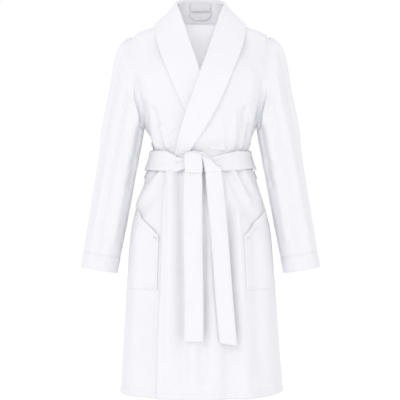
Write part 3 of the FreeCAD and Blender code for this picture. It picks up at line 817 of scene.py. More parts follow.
def collar_surface(rows, lift, tuck):
    """surface(s, t) over the collar's rows, raised off the body, with its edges trimmed by tuck."""
    across = np.linspace(0.0, 1.0, rows.shape[1])
    fine = through(rows.reshape(len(rows), -1), np.linspace(0, 1, 241))
    fine = fine.reshape(241, rows.shape[1], 3)
    outward = np.empty_like(fine)
    outward[..., 0] = fine[..., 0] / COLLAR_HALF_WIDTH**2
    outward[..., 1] = (fine[..., 1] - AXIS_Y) / COLLAR_HALF_DEPTH**2
    outward[..., 2] = 8.0
    normals = surface_normals(fine, outward)
    raised = fine + normals * lift

    def surface(s, t):
        place = s * 240
        i = np.clip(place.astype(int), 0, 239)
        share = place - i
        column = (tuck + t * (1 - 2 * tuck)) * (len(across) - 1)
        j = np.clip(column.astype(int), 0, len(across) - 2)
        step = column - j

        def corner(di, dj):
            return raised[i + di, j + dj]

        near = corner(0, 0) * (1 - step)[..., None] + corner(0, 1) * step[..., None]
        far = corner(1, 0) * (1 - step)[..., None] + corner(1, 1) * step[..., None]
        made = near * (1 - share)[..., None] + far * share[..., None]
        plump = 3.2 * np.exp(-((t / 0.16) ** 2))
        plump = plump + 0.9 * rumple(made[..., 0], made[..., 1], made[..., 2])
        hollow = -1.6 * np.exp(-(((t - 0.62) / 0.2) ** 2)) * eased(0.3, 0.5, s)
        middle = np.array([0.0, AXIS_Y, 0.0])
        out = (made - middle) * np.array([1.0, 1.0, 0.0])
        out /= np.maximum(np.linalg.norm(out, axis=-1, keepdims=True), 1e-9)
        return made + out * ((plump + hollow) * MM)[..., None]

    return surface


def collar_reference(middle):
    out = (middle - np.array([0.0, AXIS_Y, 0.0])) * np.array([1.0, 1.0, 0.0])
    out[..., 2] = 0.05
    return out


def make_collar():
    for label, side in SIDES:
        lay = wrap_lay if label == "left" else flat_lay
        rows = collar_rows(side, lay, LAPEL_LAST[label])
        upper = pillow(
            f"shawl_collar_{label}",
            collar_surface(rows, 0.0062, 0.0),
            (0.62, 0.085),
            lambda s, t: 0.0034 + 0.0009 * np.exp(-((t / 0.12) ** 2)),
            materials()["collar"],
            (190, 40),
            collar_reference,
        )
        declare(upper, "root", [f"upper_collar_{label}"])
        under = pillow(
            f"collar_underside_{label}",
            collar_surface(rows, 0.0022, 0.03),
            (0.62, 0.08),
            0.0014,
            materials()["terry"],
            (150, 18),
            collar_reference,
        )
        declare(under, "root", [f"under_collar_{label}"])


# ---------------------------------------------------------------- inside the back neck

FACING_LOW = -0.008


def roll_line(q):
    """The collar's roll behind the neck, q from -1 at the wearer's right to 1 at their left."""
    half = [(x * MM, AXIS_Y + y * MM, NECK + share * STAND) for (x, y, share), _, _ in BACK_COLLAR]
    knots = [(-x, y, z) for x, y, z in half[:0:-1]] + half
    return through(knots, (np.asarray(q) + 1) / 2)


def facing_surface(s, t):
    """The facing inside the back neck: s across it, t from its lower edge up to the roll."""
    q = 2 * s - 1
    turn = np.radians(90 - 74 * q)
    low = np.stack(
        [0.0715 * np.cos(turn), AXIS_Y + 0.0415 * np.sin(turn), NECK + FACING_LOW + 0 * q], axis=-1
    )
    high = roll_line(q) + np.stack([0 * q, -0.0035 + 0 * q, -0.001 + 0 * q], axis=-1)
    return low + (high - low) * t[..., None]


def make_neck():
    finish = materials()
    facing = pillow(
        "neck_facing", facing_surface, (0.2, 0.07), 0.0014, finish["terry"], (90, 24), (0, 1, 0)
    )
    declare(facing, "root", ["back_neck_facing"])
    low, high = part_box("neck_label")
    middle = (low + high) / 2

    def label_surface(s, t):
        x = low.x + (high.x - low.x) * s
        bow = 0.0022 * (1 - (2 * s - 1) ** 2)
        y = low.y - 0.0012 + bow * 0.4 + 0.0006 * np.sin(9 * s + 1)
        return np.stack([x, y, low.z + (high.z - low.z) * t], axis=-1)

    label = pillow(
        "neck_label_blank",
        label_surface,
        (0.054, 0.024),
        0.0004,
        finish["satin"],
        (30, 14),
        (0, -1, 0),
    )
    declare(label, "root", ["neck_label"])
    around = []
    inset = 0.0016
    for a, b in (((0, 0), (1, 0)), ((0, 1), (1, 1)), ((0, 0), (0, 1)), ((1, 0), (1, 1))):
        count = np.linspace(0, 1, 24)
        s = np.clip(a[0] + (b[0] - a[0]) * count, inset / 0.054, 1 - inset / 0.054)
        t = np.clip(a[1] + (b[1] - a[1]) * count, inset / 0.024, 1 - inset / 0.024)
        points = label_surface(s, t) + np.array([0, -0.0005, 0])
        around.append((points, np.tile([0.0, -1.0, 0.0], (24, 1))))
    declare(
        stitches("label_stitches", around, finish["thread"], 0.0022, 0.0015, 0.0004),
        "root",
        [],
    )
    make_loop(finish)


def make_loop(finish):
    """The hanging loop: one tape, folded flat into a shallow U."""
    low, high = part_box("hang_loop")
    tape = 0.006
    span, drop = high.x - tape / 2, low.z + tape / 2
    knots = [(-span, 0.0), (-span * 0.86, drop * 0.45), (-span * 0.6, drop), (0, drop * 1.03)]
    knots += [(-x, z) for x, z in knots[2::-1]]

    def tape_surface(s, t):
        here = through(knots, s)
        ahead = through(knots, np.clip(s + 0.01, 0, 1))
        back = through(knots, np.clip(s - 0.01, 0, 1))
        along = ahead - back
        along /= np.linalg.norm(along, axis=-1, keepdims=True)
        wide = (t - 0.5) * tape
        x = here[..., 0] - along[..., 1] * wide
        z = here[..., 1] + along[..., 0] * wide
        y = (low.y + high.y) / 2 - 0.0016 * np.sin(math.pi * s)
        return np.stack([x, y + 0 * x, z], axis=-1)

    loop = pillow(
        "hanging_loop_tape",
        tape_surface,
        (0.075, tape),
        0.0009,
        finish["tape"],
        (60, 8),
        (0, -1, 0),
    )
    declare(loop, "hanging_loop", ["hang_loop"])
    bars = []
    low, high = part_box("hang_loop_bartacks")
    for side in (-1, 1):
        middle = side * (high.x - 0.003)
        for k in range(9):
            x = middle + (k - 4) * 0.0006
            z = np.linspace(low.z - 0.0005, high.z, 4)
            points = np.stack([np.full(4, x), np.full(4, low.y - 0.0002), z], axis=-1)
            bars.append((points, np.tile([0.0, -1.0, 0.0], (4, 1))))
    ends = stitches("loop_bar_stitches", bars, finish["thread"], 0.0045, 0.004, 0.0005)
    declare(ends, "root", ["hang_loop_bartacks"])


# ---------------------------------------------------------------- sleeves

# Down the cap: (share of the turn from the armhole's plane to the sleeve's cross-cut, share of
# the armhole's length that the section spans).
CAP = [(0.09, 0.985), (0.19, 0.845), (0.4, 0.615), (0.75, 0.49)]
SLEEVE_HANG = math.radians(9.8)
SLEEVE_LENGTH = 0.352
CUFF_FORWARD = 0.014
CUFF_HEM = 0.043
# Folds on a sleeve: share of the way round (0 top or outside, 0.25 back, 0.5 inside, 0.75 front)
# and share of the way down at both ends, half widths, height.
SLEEVE_FOLDS = [
    ((0.80, 0.20), (0.84, 0.95), 0.026, 0.034, 4.0),
    ((0.73, 0.25), (0.75, 0.98), 0.024, 0.030, -4.5),
    ((0.66, 0.22), (0.66, 0.85), 0.022, 0.032, 3.5),
    ((0.90, 0.15), (0.91, 0.80), 0.028, 0.034, -3.5),
    ((0.60, 0.24), (0.58, 0.62), 0.020, 0.026, -4.0),
    ((0.70, 0.14), (0.56, 0.27), 0.024, 0.030, -5.0),
    ((0.76, 0.10), (0.64, 0.30), 0.026, 0.028, 4.0),
    ((0.95, 0.12), (0.97, 0.45), 0.030, 0.035, 3.0),
    ((0.40, 0.25), (0.42, 0.80), 0.026, 0.034, 3.5),
    ((0.33, 0.22), (0.33, 0.95), 0.024, 0.032, -4.0),
    ((0.24, 0.18), (0.22, 0.90), 0.028, 0.034, 4.0),
    ((0.14, 0.20), (0.13, 0.75), 0.028, 0.034, -3.0),
    ((0.44, 0.16), (0.30, 0.26), 0.026, 0.028, -4.0),
    ((0.52, 0.50), (0.68, 0.58), 0.020, 0.024, -2.4),
    ((0.50, 0.60), (0.70, 0.66), 0.018, 0.024, -2.0),
]


def armhole_ring(turn, inwards, side):
    """The body's own armhole line as a ring of points, or one tucked inside it."""
    share = 0.5 + 0.5 * np.cos(turn)
    z = ARM_LOW.z + (ARM_TOP.z - ARM_LOW.z) * share
    x = armhole_x(z) - inwards
    inside = np.clip(x / SHAPE.half_width(z), 0.0, 1.0)
    away = np.degrees(np.arccos(inside))
    front = 360.0 - away if side > 0 else 180.0 + away
    back = away if side > 0 else 180.0 - away
    lay = wrap_lay(front, z) if side > 0 else 0.0
    lift = np.where(np.sin(turn) < 0, drape(front, z) + lay, drape(back, z))
    deep = (SHAPE.half_depth(z) + lift) * np.sqrt(1 - inside**2) - 0.5 * inwards
    z = z + (0.008 - 0.25 * inwards) * share**4
    x = x + lift * inside
    return np.stack([x, AXIS_Y + np.sign(np.sin(turn)) * np.maximum(deep, 0.0), z], axis=-1)


def sleeve_rows(count, side):
    """Rings down a sleeve, from just inside the armhole to the cuff, as if on the left."""
    turn = np.linspace(0.0, 2 * math.pi, count)
    rings = [armhole_ring(turn, 0.012, side), armhole_ring(turn, 0.0, side)]
    line = Vector((ARM_TOP.x - ARM_LOW.x, 0, ARM_TOP.z - ARM_LOW.z))
    tilt = math.atan2(line.z, line.x)
    across = Vector((math.cos(SLEEVE_HANG), 0, math.sin(SLEEVE_HANG)))
    down = Vector((math.sin(SLEEVE_HANG), 0, -math.cos(SLEEVE_HANG)))
    start = ARM_LOW + Vector((0.0006, 0, 0))
    sleeve_top = start + Vector((0.007, 0, -0.046))
    sizes = bpy.context.scene.robe_sizes
    frames = []
    for share, reach in CAP:
        angle = tilt - share * (tilt - SLEEVE_HANG)
        direction = Vector((math.cos(angle), 0, math.sin(angle)))
        half = line.length * reach / 2
        corner = start + (sleeve_top - start) * share**1.5
        deep = 0.060 + (sizes.sleeve_depth / 2 - 0.060) * share
        frames.append((corner + direction * half, direction, half, deep))
    top_half, cuff_half = sizes.sleeve_width / 2, sizes.cuff_width / 2
    for k in range(8):
        share = k / 7
        half = top_half + (cuff_half - top_half) * share
        forward = Vector((0, -CUFF_FORWARD * share, 0))
        edge = sleeve_top + down * (SLEEVE_LENGTH * share)
        centre = edge + across * (half + (top_half - cuff_half) * share) + forward
        deep = (sizes.sleeve_depth + (sizes.cuff_width - sizes.sleeve_depth) * share) / 2
        frames.append((centre, across, half, deep))
    for centre, direction, half, deep in frames:
        c, d = np.array(centre), np.array(direction)
        sideways = np.array([0.0, 1.0, 0.0])
        wide = d[None, :] * (half * np.cos(turn))[:, None]
        rings.append(c + wide + sideways[None, :] * (deep * np.sin(turn))[:, None])
    return np.array(rings)


def sleeve_places(rows, columns, side, first=0.0):
    """A sleeve's outside as a grid of points, with its normals, as if on the left."""
    rings = sleeve_rows(columns, side)
    down = np.linspace(first, 1.0, rows)
    places = through(rings.reshape(len(rings), -1), down).reshape(rows, columns, 3)
    outward = places - places.mean(axis=1, keepdims=True)
    normals = surface_normals(places, outward)
    normals[:, 0] = normals[:, -1] = (normals[:, 0] + normals[:, -1]) / 2
    return places, normals, down


def sleeve_folds(down, around):
    total = np.zeros_like(down)
    for (a0, d0), (a1, d1), start, stop, rise in SLEEVE_FOLDS:
        da, dd = a1 - a0, (d1 - d0) * 1.6
        nearest = ((around - a0) * da + (down - d0) * 1.6 * dd) / (da * da + dd * dd)
        share = np.clip(nearest, 0.0, 1.0)
        gap_a = np.abs(around - a0 - share * da)
        gap_a = np.minimum(gap_a, 1 - gap_a)
        gap_d = (down - d0) * 1.6 - share * dd
        width = start + (stop - start) * share
        total += rise * np.exp(-(gap_a**2 + (0.5 * gap_d) ** 2) / width**2)
    return total


SLEEVE_FOLD_GAIN = 1.3


def cuff_share():
    """Where the cuff's stitch line is, as a share of the way down the rings."""
    return 1 - CUFF_HEM / SLEEVE_LENGTH * 7 / 13


def sleeve_outside(rows, columns, side, first=0.0):
    places, normals, down = sleeve_places(rows, columns, side, first)
    around = np.linspace(0.0, 1.0, columns)
    d, a = np.meshgrid(down, around, indexing="ij")
    folds = SLEEVE_FOLD_GAIN * sleeve_folds(d, a) * eased(0.06, 0.2, d)
    folds *= 1 - 0.75 * eased(0.9, 1.0, d)
    folds += (1.1 * rumple(places[..., 0], places[..., 1], places[..., 2])) * eased(0.04, 0.15, d)
    stitch = cuff_share()
    folds += 0.8 * eased(stitch, stitch + 0.01, d) - 1.2 * np.exp(-(((d - stitch) / 0.004) ** 2))
    places = places + normals * (folds * MM)[..., None]
    places[:, -1] = places[:, 0]
    places[..., 0] *= side
    normals = normals * np.array([side, 1, 1])
    return places, normals, down


def make_sleeves():
    thickness = bpy.context.scene.robe_sizes.cloth_thickness
    for label, side in SIDES:
        body = f"sleeve_{label}"
        places, normals, down = sleeve_outside(170, 113, side)
        piece = tube_of(f"sleeve_{label}_cloth", places, materials()["terry"], thickness)
        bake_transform(piece)
        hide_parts(f"sleeve_{label}")
        first = cuff_share() + 0.004
        inner, inner_normals, _ = sleeve_outside(30, 97, side, first)
        # The turned-back cuff takes the inside material, painted lighter and glowing as painted
        # light.
        lining = tube_of(
            f"cuff_turning_{label}",
            inner - inner_normals * (thickness + 0.0008),
            materials()["inside"],
            thickness * 0.8,
        )
        declare(lining, body, [f"cuff_facing_{label}"])
        row = int(np.argmin(np.abs(down - cuff_share())))
        ring = [(places[row] + normals[row] * 0.0003, normals[row])]
        seam = stitches(f"cuff_stitches_{label}", ring, materials()["thread"], 0.0055, 0.0036)
        declare(seam, body, [])


# ---------------------------------------------------------------- belt

BELT_HALF = 0.0036
# The side seams' angles round the robe.
SIDE_SEAM = {"left": 2.0, "right": 178.0}
# How far the belt's edges leave its straight run, at x across the front, in millimetres.
BELT_TOP_DIPS = [(-131, 0), (-108, 1), (-80, -2), (-55, -18), (-40, -20), (-19, -6), (6, -4)]
BELT_TOP_DIPS += [(25, -19), (51, -11), (90, -1), (128, 0)]
BELT_LOW_DIPS = [(-145, 0), (-90, -5), (-58, -7), (-30, 2), (6, 3)]
BELT_LOW_DIPS += [(28, -2), (54, -5), (95, -3), (135, 4)]
BELT_CREASES = [
    ((-118, 14), (-60, 22), 9, 5, -2.4),
    ((-100, 30), (-52, 30), 6, 4, -2.0),
    ((-84, 40), (-48, 36), 5, 4, 2.0),
    ((52, 30), (30, 26), 8, 5, -2.6),
    ((96, 36), (40, 34), 7, 5, -1.8),
    ((110, 14), (44, 18), 7, 5, 1.8),
    ((70, 8), (34, 14), 5, 4, -2.2),
    ((-150, 24), (-118, 30), 10, 6, 1.5),
]


def belt_surface(s, t):
    """The belt round the waist: s goes round from the wearer's left, t up from its lower edge."""
    theta = 360.0 * s
    z = BELT_LOW + (BELT_TOP - BELT_LOW) * t
    turn = np.radians(theta)
    x = SHAPE.half_width(z) * np.cos(turn) / MM
    front = eased(0.0, -0.5, np.sin(turn))
    low = np.interp(x, *zip(*BELT_LOW_DIPS)) * front
    high = np.interp(x, *zip(*BELT_TOP_DIPS)) * front
    wave = 1.2 * np.sin(3 * turn + 1) + 0.8 * np.sin(5 * turn + 2)
    level = z + (low + (high - low) * t + wave * (1 - front)) * MM
    over = eased(190.0, 226.0, theta) * (1 - eased(300.0, 348.0, theta))
    raised = np.interp(z, WRAP_HEIGHTS, WRAP_RAISES) * over
    crease = stroked(x, (z - BELT_LOW) / MM, BELT_CREASES) * front
    soft = 0.9 * rumple(1.3 * x * MM, 0.4 * np.sin(turn), 2.2 * z)
    lift = raised + 0.0025 + BELT_HALF + (crease + soft) * MM
    place = on_ring(theta, z, lift)
    place[..., 2] = level
    return place


def tail_surface(box, lean, width, sway, fold):
    """A hanging end: s down from the knot, t across, in front of the skirt below it."""
    low, high = box
    top = high.z + 0.010
    length = top - low.z
    middle_top = {"over": (low.x + high.x) / 2, "under": low.x + width / 2}[fold]
    slope = math.tan(math.radians(lean))

    def surface(s, t):
        down = s * length
        z = top - down
        centre = middle_top + slope * down + sway * np.sin(5.2 * s + 0.6) * s
        x = centre + (t - 0.5) * width * (1 - 0.12 * np.exp(-((s / 0.05) ** 2)))
        cloth = []
        for k in (-1, -0.5, 0, 0.5, 1):
            across = centre + k * width / 2
            cloth.append(front_y(across, z, drape(front_theta(across, z), z)))
        resting = np.minimum.reduce(cloth) - 0.0042 - 0.0015 - BELT_HALF
        near = eased(0.16, 0.0, s)
        y = resting + (np.minimum(resting, high.y - BELT_HALF - 0.001) - resting) * near
        y = y - 0.0012 * np.sin(13 * s + 2 * t) - 0.0018 * np.sin(math.pi * t) * eased(0.0, 0.2, s)
        ripple = 1.4 * rumple(1.5 * x, 0 * x, 1.4 * z) * eased(0.02, 0.12, s)
        start = 1 if fold == "over" else 2.4
        wave = np.sin(math.pi * (2 * t + 0.5)) * 1.2 * np.sin(7 * s + start)
        y = y - (ripple + wave) * MM
        if fold == "under":
            z = z + 0.006 * (1 - t) * eased(0.9, 1.0, s)
        return np.stack([x, y, z], axis=-1)

    return surface, length


def make_belt():
    finish = materials()
    girth = 0.84
    belt = pillow(
        "belt_round_waist",
        belt_surface,
        (girth, BELT_TOP - BELT_LOW),
        BELT_HALF,
        finish["belt"],
        (260, 22),
        collar_reference,
        closed=True,
    )
    declare(belt, "root", ["belt_waistband"])
    tails = {
        "over": ("over_tail", "belt_tail_over", 0.0, -0.003),
        "under": ("under_tail", "belt_tail_under", 5.0, 0.002),
    }
    for fold, (body, node, lean, sway) in tails.items():
        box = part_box(node)
        width = 0.049 if fold == "over" else 0.046
        surface, length = tail_surface(box, lean, width, sway, fold)
        tail = pillow(
            f"belt_end_{fold}",
            surface,
            (length, width),
            BELT_HALF,
            finish["belt"],
            (120, 22),
            (0, -1, 0),
        )
        declare(tail, body, [node])
        rows = []
        for t in (0.09, 0.91):
            s = np.linspace(0.03, 0.992, 140)
            points = surface(s, np.full_like(s, t)) + np.array([0, -BELT_HALF * 0.98, 0])
            rows.append((points, np.tile([0.0, -1.0, 0.0], (140, 1))))
        seam = stitches(f"belt_end_{fold}_stitches", rows, finish["thread"], 0.0052, 0.0034, 0.0006)
        declare(seam, body, [])
    make_knot(finish)
    make_loops(finish)


def make_knot(finish):
    """The half knot: one end comes up behind the belt, over its top edge and down its front."""
    low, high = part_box("belt_knot")
    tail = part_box("belt_tail_over")
    middle = (tail[0].x + tail[1].x) / 2
    front = BELT_BOX[0].y
    # Down the wrap's path: y and z of its middle, and its width.
    path = [
        (front + 0.006, BELT_LOW + 0.020, 0.034),
        (front + 0.006, BELT_TOP - 0.014, 0.036),
        (front + 0.001, BELT_TOP - 0.006, 0.042),
        (front - 0.007, BELT_TOP - 0.009, 0.045),
        (front - 0.0125, BELT_TOP - 0.019, 0.046),
        (front - 0.0145, BELT_LOW + 0.020, 0.047),
        (front - 0.0125, BELT_LOW + 0.005, 0.047),
        (front - 0.0085, BELT_LOW - 0.010, 0.046),
    ]

    def wrap_surface(s, t):
        here = through(path, s)
        x = middle + (t - 0.5) * here[..., 2] + 0.0035 * (s - 0.6)
        bulge = 0.0018 * np.sin(math.pi * t) + 0.0009 * np.sin(3 * math.pi * t + 4 * s)
        out = eased(0.25, 0.5, s)
        slump = eased(0.1, 0.3, s) * eased(0.72, 0.45, s)
        z = here[..., 1] - slump * (0.008 * np.abs(2 * t - 1) ** 2 - 0.003 * (t - 0.4))
        return np.stack([x, here[..., 0] - bulge * (2 * out - 1), z], axis=-1)

    wrap = pillow(
        "belt_knot_wrap",
        wrap_surface,
        (0.11, 0.044),
        BELT_HALF,
        finish["belt"],
        (70, 22),
        knot_reference,
    )
    declare(wrap, "root", ["belt_knot"])
    # The other end's turn: it comes down behind the wrap and out under the belt's lower edge.
    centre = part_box("belt_tail_under")[0].x + 0.023
    turn = [
        (centre - 0.020, front - 0.0035, BELT_LOW + 0.030, 0.026),
        (centre - 0.012, front - 0.0065, BELT_LOW + 0.018, 0.032),
        (centre - 0.004, front - 0.0075, BELT_LOW + 0.006, 0.040),
        (centre, front - 0.0060, BELT_LOW - 0.008, 0.044),
    ]

    def turn_surface(s, t):
        here = through(turn, s)
        x = here[..., 0] + (t - 0.5) * here[..., 3]
        z = here[..., 2] - (t - 0.5) * 0.014 * (1 - s)
        y = here[..., 1] - 0.0012 * np.sin(math.pi * t)
        return np.stack([x, y, z], axis=-1)

    second = pillow(
        "belt_knot_turn", turn_surface, (0.045, 0.036), 0.003, finish["belt"], (36, 18), (0, -1, 0)
    )
    declare(second, "root", [])


def knot_reference(middle):
    """Outwards from the middle of the knot, to the front or the back."""
    centre = np.array([0.0, BELT_BOX[0].y - 0.003, 0.0])
    return (middle - centre) * np.array([0.0, 1.0, 0.0])


def make_loops(finish):
    """A tape loop at each side seam, sewn above and below the belt."""
    for label, side in SIDES:
        low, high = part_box(f"belt_loop_{label}")

        def loop_surface(s, t):
            z = low.z + (high.z - low.z) * s
            seam = np.full_like(z, SIDE_SEAM[label])
            flat = SHAPE.half_width(z) + 0.0018 + drape(seam, z)
            belt = SHAPE.half_width(z) + 0.0025 + 2 * BELT_HALF + 0.0022
            below_top = 1 - eased(high.z - 0.025, high.z - 0.019, z)
            over = eased(low.z + 0.019, low.z + 0.025, z) * below_top
            x = flat + (belt - flat) * over
            y = AXIS_Y + (t - 0.5) * 0.014
            return np.stack([side * x, y, z], axis=-1)

        loop = pillow(
            f"belt_carrier_{label}",
            loop_surface,
            (0.1, 0.014),
            0.0011,
            finish["belt"],
            (60, 8),
            (side, 0, 0),
        )
        declare(loop, "root", [f"belt_loop_{label}"])
    rows = []
    for label, side in reversed(SIDES):
        for level in (BELT_LOW - 0.018, BELT_TOP + 0.018):
            for k in range(5):
                z = np.full(4, level + (k - 2) * 0.0006)
                y = np.linspace(AXIS_Y - 0.0052, AXIS_Y + 0.0052, 4)
                theta = np.full(4, SIDE_SEAM[label])
                x = side * (SHAPE.half_width(z) + drape(theta, z) + 0.0032)
                rows.append((np.stack([x, y, z], axis=-1), np.tile([float(side), 0, 0], (4, 1))))
    bars = stitches("belt_carrier_bar_stitches", rows, finish["thread"], 0.0035, 0.0032, 0.0006)
    declare(bars, "root", ["belt_loop_bartacks"])


# ---------------------------------------------------------------- pockets

POCKET_SIDE, POCKET_FRONT, MOUTH_SIDE = 14.0, 55.0, 22.0
MOUTH_WIDE, MOUTH_SLANT = 0.015, 0.061


def pocket_parts(label):
    """The heights of a pocket's bottom and of its mouth's low and high ends."""
    low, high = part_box(f"pocket_{label}")
    return low.z, high.z - MOUTH_SLANT, high.z


def pocket_edge(turn, mouth_low, mouth_high):
    """The mouth's height at an angle from the side seam."""
    share = (POCKET_FRONT - turn) / (POCKET_FRONT - MOUTH_SIDE)
    bow = 0.006 * np.sin(math.pi * np.clip(share, 0, 1))
    return mouth_low + (mouth_high - mouth_low) * np.clip(share, 0.0, 1.0) + bow


def make_pockets():
    finish = materials()
    for label, side in SIDES:
        bottom, mouth_low, mouth_high = pocket_parts(label)
        lay = wrap_lay if side > 0 else flat_lay

        def place(turn, z, lift, side=side, lay=lay):
            theta = np.where(side > 0, 360.0 - turn, 180.0 + turn)
            return on_ring(theta, z, lay(theta, z) + drape(theta, z) + lift)

        def patch_surface(s, t):
            turn = POCKET_SIDE + (POCKET_FRONT - POCKET_SIDE) * s
            top = pocket_edge(turn, mouth_low, mouth_high)
            z = bottom + (top - bottom) * t
            near_mouth = eased(0.55, 1.0, t)
            belly = 1.4 * np.sin(math.pi * s) * near_mouth
            edges = np.exp(-((np.minimum(s, 1 - s) / 0.045) ** 2)) + np.exp(-((t / 0.04) ** 2))
            pressed = -0.7 * np.clip(edges, 0, 1)
            return place(turn, z, (2.1 + belly + pressed) * MM)

        patch = pillow(
            f"pocket_{label}_patch",
            patch_surface,
            (0.1, 0.19),
            0.0017,
            finish["terry"],
            (46, 72),
            collar_reference,
        )
        declare(patch, "root", [f"pocket_{label}"])

        def hem_surface(s, t):
            turn = MOUTH_SIDE - 4.0 + (POCKET_FRONT - MOUTH_SIDE + 4.0) * s
            top = pocket_edge(turn, mouth_low, mouth_high) + 0.001
            z = top - MOUTH_WIDE * t
            belly = 1.4 * np.sin(math.pi * (turn - POCKET_SIDE) / (POCKET_FRONT - POCKET_SIDE))
            return place(turn, z, (3.9 + belly) * MM)

        hem = pillow(
            f"pocket_{label}_mouth",
            hem_surface,
            (0.11, MOUTH_WIDE),
            0.0020,
            finish["collar"],
            (50, 12),
            collar_reference,
        )
        declare(hem, "root", [])
        rows = []
        count = np.linspace(0.0, 1.0, 60)
        inner = 0.05
        for s, t in (
            (count * 0.9 + inner, np.full(60, 0.035)),
            (np.full(60, 1 - inner), 0.035 + count * 0.86),
            (np.full(60, inner), 0.035 + count * 0.86),
        ):
            points = patch_surface(s, t)
            normals = points - np.array([0, AXIS_Y, 0])
            normals[:, 2] = 0
            normals /= np.linalg.norm(normals, axis=1, keepdims=True)
            rows.append((points + normals * 0.0018, normals))
        points = hem_surface(count * 0.94 + 0.03, np.full(60, 0.8))
        normals = (points - np.array([0, AXIS_Y, 0])) * np.array([1, 1, 0])
        normals /= np.linalg.norm(normals, axis=1, keepdims=True)
        rows.append((points + normals * 0.0020, normals))
        seam = stitches(f"pocket_{label}_stitches", rows, finish["thread"], 0.005, 0.0032, 0.0006)
        declare(seam, "root", [])
    bars = []
    for label, side in SIDES:
        _, mouth_low, mouth_high = pocket_parts(label)
        lay = wrap_lay if side > 0 else flat_lay
        front_end = (POCKET_FRONT - 3.0, mouth_low - 0.004)
        side_end = (MOUTH_SIDE - 2, mouth_high - 0.006)
        for turn, level in (front_end, side_end):
            for k in range(5):
                z = np.full(5, level + (k - 2) * 0.0006)
                spread = np.linspace(-1.6, 1.6, 5)
                theta = 360.0 - turn + spread if side > 0 else 180.0 + turn + spread
                points = on_ring(theta, z, lay(theta, z) + drape(theta, z) + 0.0075)
                normals = (points - np.array([0, AXIS_Y, 0])) * np.array([1, 1, 0])
                bars.append((points, normals / np.linalg.norm(normals, axis=1, keepdims=True)))
    tacks = stitches("pocket_bar_stitches", bars, finish["thread"], 0.0035, 0.0032, 0.0006)
    declare(tacks, "root", ["pocket_bartacks"])


# ---------------------------------------------------------------- care label


def make_care_label():
    low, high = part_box("care_label")
    finish = materials()

    def label_surface(s, t):
        theta = 164.0 + 10.0 * s
        z = high.z - (high.z - low.z) * t
        thick = bpy.context.scene.robe_sizes.cloth_thickness
        lift = drape(theta, z) - thick - 0.0012 - 0.0008 * np.sin(4 * t)
        return on_ring(theta, z, lift)

    label = pillow(
        "care_label_blank",
        label_surface,
        (0.024, 0.055),
        0.0004,
        finish["satin"],
        (14, 26),
        (1, 0, 0),
    )
    declare(label, "root", ["care_label"])


# ---------------------------------------------------------------- stage


def make_world(scene):
    """An even white studio all round."""
    world = bpy.data.worlds.new("studio")
    scene.world = world
    world.use_nodes = True
    background = world.node_tree.nodes["Background"]
    background.inputs["Color"].default_value = (1, 1, 1, 1)
    background.inputs["Strength"].default_value = 1.0


def make_stage():
    scene = bpy.context.scene
    maker = new_maker()
    bmesh.ops.create_grid(maker, x_segments=2, y_segments=2, size=30.0)
    floor_height = CAD_BOX[0].z - 0.6
    bmesh.ops.translate(maker, verts=maker.verts, vec=(0, 0, floor_height))
    paint = Paint("studio_floor")
    grain = paint.noise(3.0)
    tone = paint.mix(grain, (0.86, 0.86, 0.86, 1), (0.88, 0.88, 0.88, 1))
    paint.set(Base_Color=tone, Roughness=0.9)
    paint.set(Emission_Color=(1, 1, 1, 1), Emission_Strength=0.18, Specular_IOR_Level=0.1)
    floor = finished("studio_floor", maker, paint.material)
    make_world(scene)
    centre = Vector((0.0, AXIS_Y, (HEM + COLLAR_TOP) / 2))
    lamps = [
        ("front_softbox", (-1.5, -2.6, 1.8), 1.2, 9.0),
        ("camera_fill", (0.0, -3.0, 0.0), 0.5, 9.0),
    ]
    for name, offset, size, power in lamps:
        lamp = bpy.data.lights.new(name, "AREA")
        lamp.shape = "SQUARE"
        lamp.size = size
        lamp.energy = power
        holder = bpy.data.objects.new(name, lamp)
        holder.location = centre + Vector(offset)
        holder.rotation_mode = "QUATERNION"
        holder.rotation_quaternion = (centre - holder.location).to_track_quat("-Z", "Y")
        scene.collection.objects.link(holder)
    lens = bpy.data.cameras.new("studio_camera")
    lens.lens = 100.0
    lens.sensor_width = 36.0
    camera = bpy.data.objects.new("studio_camera", lens)
    camera.location = Vector((-0.0013, AXIS_Y - 3.0, HEM + 0.515))
    camera.rotation_euler = (math.pi / 2, 0, 0)
    scene.collection.objects.link(camera)
    scene.camera = camera
    scene.view_settings.view_transform = "Standard"
    scene.view_settings.look = "None"


# ---------------------------------------------------------------- add-on


class RobeSizes(bpy.types.PropertyGroup):
    cloth_thickness: FloatProperty(
        name="Cloth thickness",
        description="Thickness of the terry with its pile",
        default=0.0034,
        unit="LENGTH",
    )
    sleeve_width: FloatProperty(
        name="Sleeve width",
        description="Width of the sleeve below the underarm, seen from the front",
        default=0.110,
        unit="LENGTH",
    )
    sleeve_depth: FloatProperty(
        name="Sleeve depth",
        description="Depth of the sleeve below the underarm, front to back",
        default=0.114,
        unit="LENGTH",
    )
    cuff_width: FloatProperty(
        name="Cuff width", description="Width of the cuff", default=0.099, unit="LENGTH"
    )


class RobeFinish(bpy.types.PropertyGroup):
    cloth: FloatVectorProperty(
        name="Cloth",
        description="Colour of the terry",
        subtype="COLOR",
        default=(0.79, 0.79, 0.825),
    )
    thread: FloatVectorProperty(
        name="Thread",
        description="Colour of the thread",
        subtype="COLOR",
        default=(0.80, 0.80, 0.83),
    )
    tape: FloatVectorProperty(
        name="Tape",
        description="Colour of the hanging loop",
        subtype="COLOR",
        default=(0.81, 0.81, 0.84),
    )
    label: FloatVectorProperty(
        name="Label",
        description="Colour of the blank labels",
        subtype="COLOR",
        default=(0.80, 0.80, 0.83),
    )
    # Painted light: the inside material's emission strength, a glow standing in for studio light
    # coming through the cloth.
    glow: FloatProperty(
        name="Inside glow",
        description="How much of the studio's light comes through to the cloth's inside",
        default=0.15,
    )
    pile: FloatProperty(
        name="Pile", description="Height of the pile's relief", default=0.0011, unit="LENGTH"
    )


